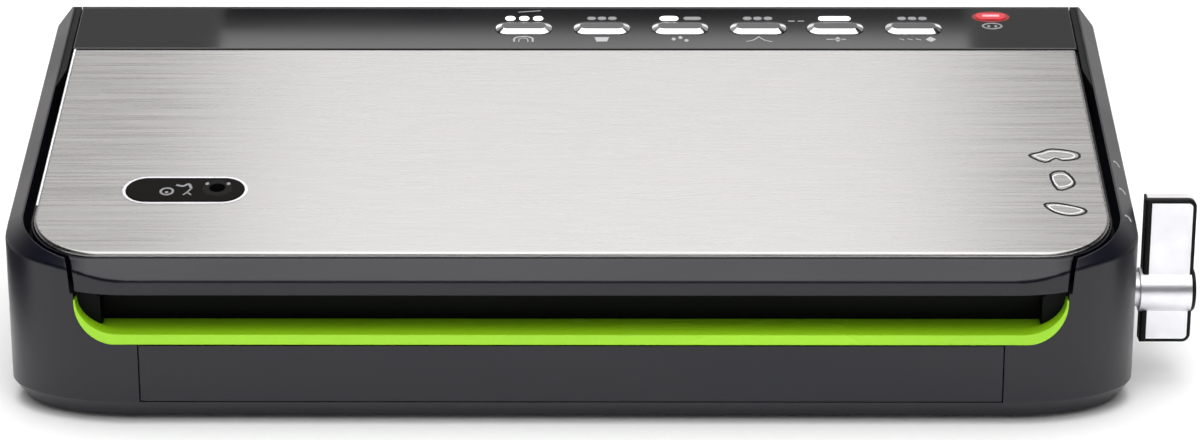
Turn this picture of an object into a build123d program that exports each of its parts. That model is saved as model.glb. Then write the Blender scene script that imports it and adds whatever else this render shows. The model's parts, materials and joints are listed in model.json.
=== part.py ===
from build123d import *
import os
from math import cos, radians, sin, tan

# Countertop vacuum sealer with a hinged lid, a bag slot at the front and a latch lever at the right.
# Millimetres. X runs along the width, +Y to the rear, +Z up, and the feet stand on Z = 0.
# The origin is under the middle of the whole footprint, lever included.

SIDES = (-1, 1)  # left and right of the middle

# ---- Driving dimensions: body -------------------------------------------------------------
BODY_WIDTH = 420.0
BODY_DEPTH = 186.0
LEVER_REACH = 25.0  # the lever hub stands this far out past the right side
SHELL_BOTTOM = 2.0
CREASE_Z = 9.0  # the lower edge band starts to turn under here
CREASE_INSET = 5.0
CORNER_X = 48.0  # front corners are quarter ellipses in plan
CORNER_Y = 30.0
REAR_CORNER_X = 7.0
REAR_CORNER_Y = 10.0
WALL = 3.0

MIDDLE_X = -LEVER_REACH / 2
HALF_WIDTH = BODY_WIDTH / 2
FRONT_Y = -BODY_DEPTH / 2
REAR_Y = BODY_DEPTH / 2

# ---- Driving dimensions: sloped top -------------------------------------------------------
SLOPE = 13.6  # degrees, rising to the rear
EDGE_INSET = 6.9  # front edge of the steel plate, back from the front face
EDGE_Z = 65.0
TOP_HALF_WIDTH = 204.0
TOP_LENGTH = 181.0
TOP_CORNER = 27.0
FACET_ANGLE = 51.8  # how far the top's outer facet leans from the plate's normal
FACET_DEPTH = 25.0
FACET_EDGE_RADIUS = 2.0  # where the facet meets the upright walls

EDGE_Y = FRONT_Y + EDGE_INSET
PAST_REAR_T = TOP_LENGTH + 20.0

# Levels measured along the normal of the sloped top, with the steel plate's face at 0.
LID_UNDERSIDE = -12.0
DECK_TOP = -13.0
PLATFORM_TOP = -17.0  # sealing platform, recessed in the deck
PLATFORM_BOTTOM = -20.0
DECK_BOTTOM = -16.0
PLATE_THICK = 0.8
PLATE_RIM = 1.8  # the plate's edge is rolled down this far
PLATE_RIM_WIDTH = 1.0
PLATE_EDGE_RADIUS = 1.5
STRIP_THICK = 2.0

# ---- Lid outline on the slope (x from the middle, t up the slope from the plate's edge) ----
PLATE_HALF_WIDTH = 199.7
PLATE_FRONT_T = -0.5
PLATE_LENGTH = 147.2
PLATE_CORNER = 26.0
LID_HALF_WIDTH = 200.3
LID_CORNER = 26.6
LID_FRONT_T = -1.3
LIP_TOP_HALF = 184.3  # the front lip narrows downwards
LIP_BOTTOM_HALF = 180.5
LIP_FRONT_T = -24.0
LIP_KINK_T = -10.0
LIP_BACK_T = 3.0
LID_GAP = 1.8
LID_SIDE_GAP = 3.1
LEDGE_LEVEL = -1.6  # the lid is this low round the plate
STRIP_START = 147.7
STRIP_END = 179.9

# ---- Bag slot, guide and drip tray ---------------------------------------------------------
MOUTH_HALF_WIDTH = 182.0
MOUTH_BOTTOM = 31.5
MOUTH_CORNER = 15.0
MOUTH_DEPTH = 17.0
MOUTH_CEILING = 75.0
THROAT_HALF_WIDTH = 173.0  # the slot is narrower behind its mouth
GUIDE_THICK = 4.0
GUIDE_TOP = 48.0
GUIDE_LIP_DEPTH = 8.0  # how far back the guide's turned-up ends reach
GUIDE_FLAT_HALF = 166.0
GUIDE_TIP = 0.6
GUIDE_EDGE_RADIUS = 0.5
TRAY_HALF_WIDTH = 159.0
TRAY_GAP = 0.35
PANEL_EASE = 2.6  # the front panel's ends fall back slightly over this width
PANEL_EASE_DEPTH = 0.35
TRAY_BACK_Y = -25.0

# ---- Sealing platform, along the slope ------------------------------------------------------
SEAL_HALF_WIDTH = 150.0
SEAL_T = (11.0, 20.0)
GASKET_HALF_WIDTH = 172.0
GASKET_T = (26.0, 72.0)
GASKET_BAND = 6.0
CHANNEL_HALF_WIDTH = 163.0
CHANNEL_T = (34.0, 64.0)
CHANNEL_FLOOR = -28.5
CHANNEL_WALL = 1.5
PLATFORM_HALF_WIDTH = 174.0
PLATFORM_START_T = -5.0
PLATFORM_END_T = 78.0

# ---- Hinge -----------------------------------------------------------------------------------
HINGE_Y = REAR_Y - 5.0
HINGE_Z = 94.0
BARREL_RADIUS = 5.0
GROOVE_RADIUS = 6.0
EAR_X = 150.0
EAR_WIDTH = 10.0
PIN_RADIUS = 1.55
PIN_HOLE_RADIUS = 1.6

# ---- Latch -----------------------------------------------------------------------------------
SHAFT_Y = -43.0
SHAFT_Z = 35.0
SHAFT_RADIUS = 4.0
SHAFT_HOLE_RADIUS = 4.05
LEVER_X = (214.2, 235.0)
LEVER_HUB_RADIUS = 8.3
LEVER_TOP_Z = 72.1
LEVER_BOTTOM_Z = 14.9
LEVER_THICK = 8.0
KEEPER_ANGLE = 29.0  # degrees forward of straight up, seen from the shaft
KEEPER_REACH = 19.0
KEEPER_RADIUS = 2.0
KEEPER_CLEARANCE = 0.35
HOOK_OUTER = 25.0
HOOK_X = (181.5, 187.5)
LATCH_SLOT_X = (178.5, 195.5)
LATCH_SLOT_Y = (-67.0, -37.0)

# ---- Control panel ---------------------------------------------------------------------------
BUTTON_X = (-20.6, 10.8, 42.3, 73.7, 104.7, 136.1)
BUTTON_T = 163.5
BUTTON_LENGTH = 22.6
BUTTON_HEIGHT = 9.6
BUTTON_PROUD = 1.3
BUTTON_BEVEL = 2.4  # in from the rim, all round
BUTTON_BEVEL_DROP = 1.1
BUTTON_EDGE_RADIUS = 0.35
BUTTON_GAP = 0.3
CONTROL_BOARD_LEVEL = -8.0
LIGHT_T = 171.5
INDICATOR_X = 168.0

# ---- Accessory port --------------------------------------------------------------------------
PORT_PILL_X = -145.0
PORT_PILL_T = 42.4
PORT_PILL_LENGTH = 44.7
PORT_PILL_WIDTH = 16.3
PORT_X = -133.0
PORT_RADIUS = 3.0
GROMMET_RADIUS = 5.6

# ---- Pump ------------------------------------------------------------------------------------
PUMP_Y = 44.0
PUMP_Z = 32.0
CRANK_OFFSET = 1.8
CRANK_RADIUS = 4.0
ROD_RING_RADIUS = 8.0
PISTON_RADIUS = 9.0
PISTON_CLEARANCE = 0.08

# ---- Smaller sizes ------------------------------------------------------------------------------
SHORT_CUT = 10.0  # cutting shapes run this far, past what they cut
MEDIUM_CUT = 20.0
LONG_CUT = 40.0
SCREW_TAPER = 45.0
SCREW_HEAD_ANGLE = 90.0
CROSS_LENGTH = 3.0
CROSS_WIDTH = 0.7
CROSS_DEPTH = 0.8
BOARD_THICK = 1.6
BASE_THICK = 2.5
RAIL_START = 18.0  # the tray's rails, back from the front face
RAIL_SHORT = 8.0
RAIL_WIDTH = 3.0
RAIL_HEIGHT = 9.0
RUNNER_SHARE = 0.8
RIM_WIDTH = 3.0
FLANGE_INSET = 16.0
FLANGE_TOP = 7.0
SHELF_BOTTOM = 29.4
BEAM_BOTTOM = 83.0
BEAM_DEPTH = 14.0
BASE_SCREW_PLACES = ((168, -79), (198, -30), (198, 65), (110, 82))
BASE_SCREWS = [(side * x, y) for side in SIDES for x, y in BASE_SCREW_PLACES]
SCREW_RADIUS = 1.5
SCREW_HEAD_RADIUS = 3.0
SCREW_LENGTH = 9.0
BOSS_RADIUS = 4.0
BOSS_HEIGHT = 6.0
FEET = [(side * 183, y) for side in SIDES for y in (-60, 68)]
FOOT_RADIUS = 9.0
FOOT_RECESS = 1.0
FOOT_EDGE = 0.6
TRAY_BODY_HALF = 149.0
TRAY_FLOOR_Z = 9.6
TRAY_RIM_Z = 28.8
TRAY_WALL = 2.0
SEAL_BAR_TOP = -15.6
HEATER_HALF_WIDTH = 147.0
HEATER_T = (14.0, 17.0)
HEATER_THICK = 0.2
TAPE_THICK = 0.15
GASKET_THICK = 2.2
GASKET_CORNER = 12.0
OUTLET_X = 60.0
OUTLET_T = 58.0
DRAIN_X = -60.0
DRAIN_T = 45.0
NIPPLE_RADIUS = 3.0
NIPPLE_BORE = 2.0
NIPPLE_LENGTH = 6.0
BUSH_INNER_X = 199.0
BUSH_RADIUS = 6.0
BUSH_BOSS_RADIUS = 9.0
BUSH_FLANGE_RADIUS = 7.5
BUSH_FLANGE = 1.6
WASHER_RADIUS = 6.5
SHAFT_END_X = 230.0
END_SCREW_RADIUS = 2.0
END_SCREW_LENGTH = 8.0
END_SCREW_HEAD = 4.4
END_SCREW_HEAD_THICK = 3.0
HEX_RADIUS = 2.0
HEX_DEPTH = 1.0
SHAFT_END_GAP = 0.5
HOOK_HUB_RADIUS = 7.5
HOOK_ARM_WIDTH = 6.0
HOOK_START_ANGLE = 56.0
HOOK_FINGER_ANGLE = 26.0
PADDLE_INSET = 0.8
LEVER_CORNER = 3.2
LEVER_END_EDGE = 0.6
LEVER_TRIM_WIDTH = 1.5
LEVER_TRIM_INNER = 2.3  # wider on the side that faces the body
LEVER_TRIM_DEPTH = 2.5
LEVER_SKIN = 0.8
LEVER_EDGE_RADIUS = 1.0
PIN_LENGTH = 40.0
PIN_END_GAP = 0.5
GLAND_X = 150.0
GLAND_Z = 24.0
GLAND_RADIUS = 7.0
GLAND_BORE = 3.6
GLAND_FLANGE = 1.0
LINER_T = (3.0, 170.4)
LINER_HALF_WIDTH = 198.0
LINER_CORNER = 24.0
LINER_TOP = -10.0
LID_WALL_LEVEL = -3.8
BARREL_INSET = 1.0
EAR_NOTCH_GAP = 0.4
STRIP_EDGE = 0.3
PORT_EDGE = 0.4
TAPE_INSET = 1.0
PRESSURE_EDGE = 0.8
LID_SCREW_PLACES = ((188, 90), (188, 148), (60, 110))
LID_SCREWS = [(side * x, t) for side in SIDES for x, t in LID_SCREW_PLACES]
LID_SCREW_RADIUS = 1.3
LID_SCREW_HEAD = 2.6
LID_SCREW_DEPTH = 4.0
FLANGE_LIP = 0.8
BUTTON_FLANGE_TOP = -2.1
BUTTON_FLANGE_THICK = 1.1
SWITCH_TOP = -4.7
SWITCH_SIZE = 6.0
SWITCH_KNOB_RADIUS = 1.7
SWITCH_KNOB_HEIGHT = 0.3
CONTROL_BOARD_X = 62.0
CONTROL_BOARD_T = 159.6
CONTROL_BOARD_LENGTH = 230.0
CONTROL_BOARD_WIDTH = 21.0
LIGHT_PROUD = 0.1
LIT_SPACING = 5.6
DIM_SPACING = 4.2
LIT_ROW = [(BUTTON_X[0] + step * LIT_SPACING, LIGHT_T, 4.0, 3.4) for step in (-1, 0, 1)]
LIT_WIDE = [(BUTTON_X[2] - 4.4, LIGHT_T, 7.5, 3.6), (BUTTON_X[4], LIGHT_T, 13.0, 3.4)]
LIGHTS_LIT = LIT_ROW + LIT_WIDE
DIM_ROWS = [(BUTTON_X[i] + step * DIM_SPACING, LIGHT_T, 3.5, 2.6) for i in (1, 3, 5) for step in (-1, 0, 1)]
LIGHTS_DIM = DIM_ROWS + [(BUTTON_X[2] + 5.0, LIGHT_T, 7.2, 2.6)]
INDICATOR_T = 172.9
INDICATOR_LENGTH = 12.4
INDICATOR_WIDTH = 5.0
INDICATOR_PROUD = 0.6
INDICATOR_EDGE_RADIUS = 0.5
PORT_T = 43.4
PORT_PROUD = 0.5
PRESSURE_DEPTH = 2.4
KEEPER_TAB_X = 192.0
KEEPER_TAB_THICK = 3.0
KEEPER_TAB_WIDTH = 8.0
KEEPER_TAB_DEPTH = 13.5
KEEPER_FOOT_LENGTH = 9.0
KEEPER_FOOT_LIP = 2.0
KEEPER_FOOT_THICK = 1.6
KEEPER_BAR_PAST_HOOK = 1.5
KEEPER_T = 29.8
PUMP_AXIS_X = 11.0
PUMP_FACE_X = 22.0
MOTOR_RADIUS = 15.0
MOTOR_LENGTH = 50.0
MOTOR_BOSS_RADIUS = 5.0
HEAD_SIZE = 26.0
HEAD_Y = (-8.0, 24.0)
HEAD_BORE_DEPTH = 17.0
PISTON_Y = (14.0, 22.0)
INLET_Y = 0.0
HOSE_RADIUS = 4.6
HOSE_BEND = 8.0
CORE_X = -144.0
CORE_Y = 42.0
CORE_LENGTH = 52.0
CORE_DEPTH = 20.0
CORE_HEIGHT = 42.0
CORE_LEG = 8.0
WINDOW_WIDTH = 10.0
BOARD_X = -60.0
BOARD_Y = 38.0
BOARD_Z = 11.0
BOARD_SIZE = 66.0
SENSOR_X = 165.0
SENSOR_Y = -14.0
SENSOR_Z = 30.0
VENT_PLACE = (110.0, 40.0)
VENT_PITCH = (36.0, 7.0)
VENT_ROWS = (2, 4)
VENT_SLOT = (30.0, 3.0)
SENSOR_FOOT = (14.0, 12.0)
SENSOR_LENGTH = 12.0
SENSOR_WIDTH = 10.0
SENSOR_HEIGHT = 8.0
BOARD_POST_INSET = 10.0
BOARD_POST_RADIUS = 3.0
CAPACITORS = [(-20.0, -18.0), (-4.0, -18.0)]  # places on the power board, from its middle
CAPACITOR_RADIUS = 6.0
CAPACITOR_HEIGHT = 20.0
BLOCKS = [(18.0, -18.0, 18.0, 14.0, 15.0), (-12.0, 24.0, 30.0, 9.0, 10.0), (18.0, 14.0, 3.0, 26.0, 22.0)]
COIL_CORNER = 2.0
BRACKET_LENGTH = 52.0
BRACKET_WIDTH = 30.0
BRACKET_THICK = 2.0
MOTOR_EDGE = 1.2
MOTOR_BOSS_LENGTH = 3.0
MOTOR_REAR_BOSS = 6.0
ECCENTRIC_WIDTH = 6.0
PUMP_SHAFT_START = 5.0  # in front of the piston's axis
PUMP_SHAFT_LENGTH = 26.0
HEAD_EDGE = 2.0
HEAD_FOOT_INSET = (6.0, 8.0)
ROD_RING_WALL = 3.0
ROD_WIDTH = 5.0
HOSE_OVERLAP = 1.0
GLAND_COLLAR = 2.0

# ---- Planes: each one starts from the middle of the body ---------------------------------------
GROUND = Plane(origin=(MIDDLE_X, 0, 0))
SIDE = Plane(origin=(MIDDLE_X, 0, 0), x_dir=(0, 1, 0), z_dir=(1, 0, 0))
FRONT = Plane(origin=(MIDDLE_X, FRONT_Y, 0), x_dir=(1, 0, 0), z_dir=(0, -1, 0))
TOP = Plane(
    origin=(MIDDLE_X, EDGE_Y, EDGE_Z),
    x_dir=(1, 0, 0),
    z_dir=(0, -sin(radians(SLOPE)), cos(radians(SLOPE))),
)


def on_slope(t, level):
    """World y and z of a point t up the slope and level above the steel plate's face."""
    y = EDGE_Y + t * cos(radians(SLOPE)) - level * sin(radians(SLOPE))
    z = EDGE_Z + t * sin(radians(SLOPE)) + level * cos(radians(SLOPE))
    return y, z


# ---- Profiles used by more than one sub-part ----------------------------------------------------
def plan_outline(height, inset=0.0):
    """The body's outline in plan, pulled in by inset all round."""
    half = HALF_WIDTH - inset
    front = FRONT_Y + inset
    rear = REAR_Y - inset
    flat_half = HALF_WIDTH - CORNER_X
    corner_y = FRONT_Y + CORNER_Y
    with BuildSketch(GROUND.offset(height)) as outline:
        with BuildLine():
            Line((flat_half, front), (0, front))
            EllipticalCenterArc(
                (flat_half, corner_y), half - flat_half, corner_y - front, start_angle=-90, arc_size=90
            )
            Line((half, corner_y), (half, rear - REAR_CORNER_Y))
            Line((half, rear - REAR_CORNER_Y), (half - REAR_CORNER_X, rear))
            Line((half - REAR_CORNER_X, rear), (0, rear))
            Line((0, rear), (0, front))
        make_face()
        mirror(about=Plane.YZ)
    return outline.sketch


def slope_rectangle(level, half_width, t_start, t_end):
    """A rectangle on the slope, centred on the body's middle."""
    with BuildSketch(TOP.offset(level)) as patch:
        with Locations((0, (t_start + t_end) / 2)):
            Rectangle(2 * half_width, t_end - t_start)
    return patch.sketch


def slope_pill(level, x, t, length, width):
    """A stadium on the slope, long along X."""
    with BuildSketch(TOP.offset(level)) as pill:
        with Locations((x, t)):
            SlotOverall(length, width)
    return pill.sketch


def slope_discs(level, places, radius):
    """Equal discs on the slope, at a list of (x, t) places."""
    with BuildSketch(TOP.offset(level)) as discs:
        with Locations(*places):
            Circle(radius)
    return discs.sketch


def side_disc(x, y, z, radius):
    """A disc that faces +X, for shafts and holes that run along the width."""
    with BuildSketch(SIDE.offset(x)) as disc:
        with Locations((y, z)):
            Circle(radius)
    return disc.sketch


def side_ring(x, y, z, outer, inner):
    """A ring that faces +X."""
    with BuildSketch(SIDE.offset(x)) as ring:
        with Locations((y, z)):
            Circle(outer)
            Circle(inner, mode=Mode.SUBTRACT)
    return ring.sketch


def plan_rectangle(height, x, y, length, width):
    """A rectangle seen from above, centred on x, y."""
    with BuildSketch(GROUND.offset(height)) as patch:
        with Locations((x, y)):
            Rectangle(length, width)
    return patch.sketch


def lid_outline(level, rear_t, grow=0.0, side_grow=0.0):
    """The lid's outline on the slope: rounded front corners, and the narrower lip in front of them."""
    front_t = LID_FRONT_T - grow
    with BuildSketch(TOP.offset(level)) as outline:
        with Locations((0, (front_t + rear_t) / 2)):
            Rectangle(2 * (LID_HALF_WIDTH + side_grow), rear_t - front_t)
        fillet(outline.vertices().group_by(Axis.Y)[0], LID_CORNER + side_grow)
        with BuildLine():
            Polyline(
                (-LIP_BOTTOM_HALF - grow, LIP_FRONT_T),
                (LIP_BOTTOM_HALF + grow, LIP_FRONT_T),
                (LIP_BOTTOM_HALF + grow, LIP_KINK_T),
                (LIP_TOP_HALF + grow, LIP_BACK_T),
                (-LIP_TOP_HALF - grow, LIP_BACK_T),
                (-LIP_BOTTOM_HALF - grow, LIP_KINK_T),
                close=True,
            )
        make_face()
    return outline.sketch


def plate_outline(level, inset=0.0):
    """The steel plate's outline on the slope, pulled in by inset all round."""
    with BuildSketch(TOP.offset(level)) as outline:
        with Locations((0, (PLATE_FRONT_T + PLATE_LENGTH) / 2)):
            Rectangle(2 * (PLATE_HALF_WIDTH - inset), PLATE_LENGTH - PLATE_FRONT_T - 2 * inset)
        fillet(outline.vertices().group_by(Axis.Y)[0], PLATE_CORNER - inset)
    return outline.sketch


def front_rectangle(depth, half_width, bottom, top):
    """A rectangle that faces the front, a depth behind the front face."""
    with BuildSketch(FRONT.offset(-depth)) as patch:
        with Locations((0, (bottom + top) / 2)):
            Rectangle(2 * half_width, top - bottom)
    return patch.sketch


def mouth_outline(depth):
    """The bag slot's opening seen from the front: flat floor with rounded lower corners."""
    with BuildSketch(FRONT.offset(-depth)) as outline:
        with Locations((0, (MOUTH_BOTTOM + MOUTH_CEILING) / 2)):
            Rectangle(2 * MOUTH_HALF_WIDTH, MOUTH_CEILING - MOUTH_BOTTOM)
        fillet(outline.vertices().group_by(Axis.Y)[0], MOUTH_CORNER)
    return outline.sketch


def guide_hollow():
    """The space inside the guide's lip, whose ends thin out towards their tips."""
    floor = MOUTH_BOTTOM + GUIDE_THICK
    tip = MOUTH_HALF_WIDTH - GUIDE_TIP
    with BuildSketch(FRONT) as hollow:
        with BuildLine():
            Line((0, floor), (GUIDE_FLAT_HALF, floor))
            EllipticalCenterArc(
                (GUIDE_FLAT_HALF, GUIDE_TOP),
                tip - GUIDE_FLAT_HALF,
                GUIDE_TOP - floor,
                start_angle=-90,
                arc_size=90,
            )
            Line((tip, GUIDE_TOP), (tip, MOUTH_CEILING))
            Line((tip, MOUTH_CEILING), (0, MOUTH_CEILING))
            Line((0, MOUTH_CEILING), (0, floor))
        make_face()
        mirror(about=Plane.YZ)
    return hollow.sketch


# ---- The whole closed shape, which the housing and the lid are both cut from -----------------------
def make_envelope():
    """Plan outline, turned-under lower edge, and the leaning facet round the sloped top."""
    grow = FACET_DEPTH * tan(radians(FACET_ANGLE))
    half = TOP_HALF_WIDTH + grow
    with BuildPart() as roof:
        with BuildSketch(TOP.offset(-FACET_DEPTH)) as roof_base:
            with Locations((0, TOP_LENGTH / 2)):
                Rectangle(2 * half, TOP_LENGTH + 2 * grow)
            fillet(roof_base.vertices().group_by(Axis.Y)[0], TOP_CORNER + grow)
        extrude(amount=FACET_DEPTH, taper=FACET_ANGLE)
        extrude(slope_rectangle(-FACET_DEPTH, half, -2 * grow, TOP_LENGTH + 2 * grow), amount=-BODY_DEPTH)
    with BuildPart() as envelope:
        extrude(plan_outline(SHELL_BOTTOM), amount=2 * EDGE_Z)
        underside = envelope.faces().sort_by(Axis.Z)[0]
        chamfer(
            underside.edges(),
            length=CREASE_INSET,
            length2=CREASE_Z - SHELL_BOTTOM,
            reference=underside,
        )
        add(roof.part, mode=Mode.INTERSECT)
        front_face = envelope.faces().filter_by(Plane.XZ).sort_by(Axis.Y)[0]
        fillet(front_face.edges().sort_by(Axis.Z)[-1], FACET_EDGE_RADIUS)
    return envelope.part


# ---- Base ------------------------------------------------------------------------------------------
def make_cavity():
    """The hollow inside the housing, below the deck."""
    with BuildPart() as cavity:
        extrude(plan_outline(FLANGE_TOP, WALL), amount=2 * EDGE_Z)
        split(bisect_by=TOP.offset(DECK_BOTTOM), keep=Keep.BOTTOM)
        # what stays solid: the sealing platform, the shelf and wall behind the bag slot, the rear beam
        extrude(
            slope_rectangle(
                PLATFORM_BOTTOM, PLATFORM_HALF_WIDTH + WALL, -BODY_DEPTH, PLATFORM_END_T + WALL
            ),
            amount=DECK_TOP - PLATFORM_BOTTOM,
            mode=Mode.SUBTRACT,
        )
        shelf_depth = MOUTH_DEPTH + WALL
        extrude(
            plan_rectangle(SHELF_BOTTOM, 0, FRONT_Y + shelf_depth / 2, BODY_WIDTH, shelf_depth),
            amount=EDGE_Z,
            mode=Mode.SUBTRACT,
        )
        extrude(
            plan_rectangle(BEAM_BOTTOM, 0, REAR_Y - BEAM_DEPTH / 2, BODY_WIDTH, BEAM_DEPTH),
            amount=EDGE_Z,
            mode=Mode.SUBTRACT,
        )
    return cavity.part


def make_shell(envelope):
    """Housing and sealing deck together, before they are parted."""
    bay_width = 2 * (LID_HALF_WIDTH + LID_SIDE_GAP)
    with BuildPart() as shell:
        add(envelope)
        # bay for the lid, mouth of the bag slot, sealing platform and the hole for the channel
        extrude(
            lid_outline(DECK_TOP, PAST_REAR_T, LID_GAP, LID_SIDE_GAP), amount=LONG_CUT, mode=Mode.SUBTRACT
        )
        extrude(mouth_outline(GUIDE_LIP_DEPTH), amount=SHORT_CUT, mode=Mode.SUBTRACT)
        extrude(
            front_rectangle(MOUTH_DEPTH, THROAT_HALF_WIDTH, MOUTH_BOTTOM, MOUTH_CEILING),
            amount=MOUTH_DEPTH - GUIDE_LIP_DEPTH,
            mode=Mode.SUBTRACT,
        )
        extrude(
            slope_rectangle(PLATFORM_TOP, PLATFORM_HALF_WIDTH, PLATFORM_START_T, PLATFORM_END_T),
            amount=SHORT_CUT,
            mode=Mode.SUBTRACT,
        )
        add(make_cavity(), mode=Mode.SUBTRACT)
        extrude(
            slope_rectangle(
                PLATFORM_BOTTOM - WALL,
                CHANNEL_HALF_WIDTH + CHANNEL_WALL,
                CHANNEL_T[0] - CHANNEL_WALL,
                CHANNEL_T[1] + CHANNEL_WALL,
            ),
            amount=MEDIUM_CUT,
            mode=Mode.SUBTRACT,
        )
        # open bottom with a flange that the base plate screws to, and bosses on the flange
        extrude(
            plan_outline(SHELL_BOTTOM, RIM_WIDTH + CREASE_INSET), amount=BASE_THICK, mode=Mode.SUBTRACT
        )
        extrude(
            plan_outline(SHELL_BOTTOM, FLANGE_INSET), amount=FLANGE_TOP - SHELL_BOTTOM, mode=Mode.SUBTRACT
        )
        with BuildSketch(GROUND.offset(FLANGE_TOP)):
            with Locations(*BASE_SCREWS):
                Circle(BOSS_RADIUS)
        extrude(amount=BOSS_HEIGHT)
        with BuildSketch(GROUND.offset(SHELL_BOTTOM + BASE_THICK)):
            with Locations(*BASE_SCREWS):
                Circle(SCREW_RADIUS)
        extrude(amount=SCREW_LENGTH, mode=Mode.SUBTRACT)
        # opening for the drip tray's front panel
        extrude(
            plan_rectangle(CREASE_Z, 0, FRONT_Y + WALL / 2, 2 * TRAY_HALF_WIDTH, WALL),
            amount=MOUTH_BOTTOM - CREASE_Z,
            mode=Mode.SUBTRACT,
        )
        # slots for the lid's keepers, bosses and holes for the latch shaft's bushes
        slot_length = LATCH_SLOT_X[1] - LATCH_SLOT_X[0]
        slot_width = LATCH_SLOT_Y[1] - LATCH_SLOT_Y[0]
        for side in SIDES:
            slot_x = side * sum(LATCH_SLOT_X) / 2
            extrude(
                plan_rectangle(SHAFT_Z, slot_x, sum(LATCH_SLOT_Y) / 2, slot_length, slot_width),
                amount=EDGE_Z,
                mode=Mode.SUBTRACT,
            )
            boss_start = BUSH_INNER_X if side > 0 else WALL - HALF_WIDTH
            extrude(
                side_disc(boss_start, SHAFT_Y, SHAFT_Z, BUSH_BOSS_RADIUS),
                amount=HALF_WIDTH - WALL - BUSH_INNER_X,
            )
        extrude(
            side_disc(BUSH_INNER_X, SHAFT_Y, SHAFT_Z, BUSH_RADIUS), amount=MEDIUM_CUT, mode=Mode.SUBTRACT
        )
        extrude(
            side_disc(WALL - HALF_WIDTH, SHAFT_Y, SHAFT_Z, BUSH_RADIUS),
            amount=MEDIUM_CUT,
            mode=Mode.SUBTRACT,
        )
        # groove for the lid's hinge barrel, and the two ears that carry the pins
        extrude(
            side_disc(-bay_width / 2, HINGE_Y, HINGE_Z, GROOVE_RADIUS),
            amount=bay_width,
            mode=Mode.SUBTRACT,
        )
        for side in SIDES:
            ear_start = side * EAR_X - EAR_WIDTH / 2
            extrude(side_disc(ear_start, HINGE_Y, HINGE_Z, BARREL_RADIUS), amount=EAR_WIDTH)
            extrude(
                plan_rectangle(
                    BEAM_BOTTOM, side * EAR_X, HINGE_Y, EAR_WIDTH, BARREL_RADIUS
                ),
                amount=HINGE_Z - BEAM_BOTTOM,
            )
        extrude(
            side_disc(-EAR_X - EAR_WIDTH, HINGE_Y, HINGE_Z, PIN_HOLE_RADIUS),
            amount=2 * (EAR_X + EAR_WIDTH),
            mode=Mode.SUBTRACT,
        )
        # hole for the cord gland
        with BuildSketch(FRONT.offset(-BODY_DEPTH)):
            with Locations((GLAND_X, GLAND_Z)):
                Circle(GLAND_RADIUS)
        extrude(amount=2 * WALL, both=True, mode=Mode.SUBTRACT)
    return shell.part


def make_deck_zone():
    """The space of the sealing deck: the floor under the lid, and the wall and shelf of the bag slot."""
    slot_front = FRONT_Y + WALL
    slot_back = FRONT_Y + MOUTH_DEPTH + WALL
    deck_end = (REAR_Y - BEAM_DEPTH - EDGE_Y) / cos(radians(SLOPE))
    deck_start = (slot_back - EDGE_Y + PLATFORM_BOTTOM * sin(radians(SLOPE))) / cos(radians(SLOPE))
    with BuildPart() as deck_zone:
        extrude(
            slope_rectangle(PLATFORM_BOTTOM, LID_HALF_WIDTH + LID_SIDE_GAP, deck_start, deck_end),
            amount=DECK_TOP - PLATFORM_BOTTOM,
        )
        extrude(
            plan_rectangle(
                SHELF_BOTTOM, 0, (slot_front + slot_back) / 2, 2 * MOUTH_HALF_WIDTH, slot_back - slot_front
            ),
            amount=EDGE_Z - SHELF_BOTTOM,
        )
    return deck_zone.part


def make_upper_housing(shell, deck_zone):
    """Side, front and rear walls with the shoulders beside the lid."""
    with BuildPart() as upper_housing:
        add(shell)
        add(deck_zone, mode=Mode.SUBTRACT)
    return upper_housing.part


def make_sealing_deck(shell, deck_zone):
    """Floor under the lid with the recessed platform, and the wall and shelf behind the bag slot."""
    with BuildPart() as sealing_deck:
        add(shell)
        add(deck_zone, mode=Mode.INTERSECT)
    return sealing_deck.part


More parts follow.
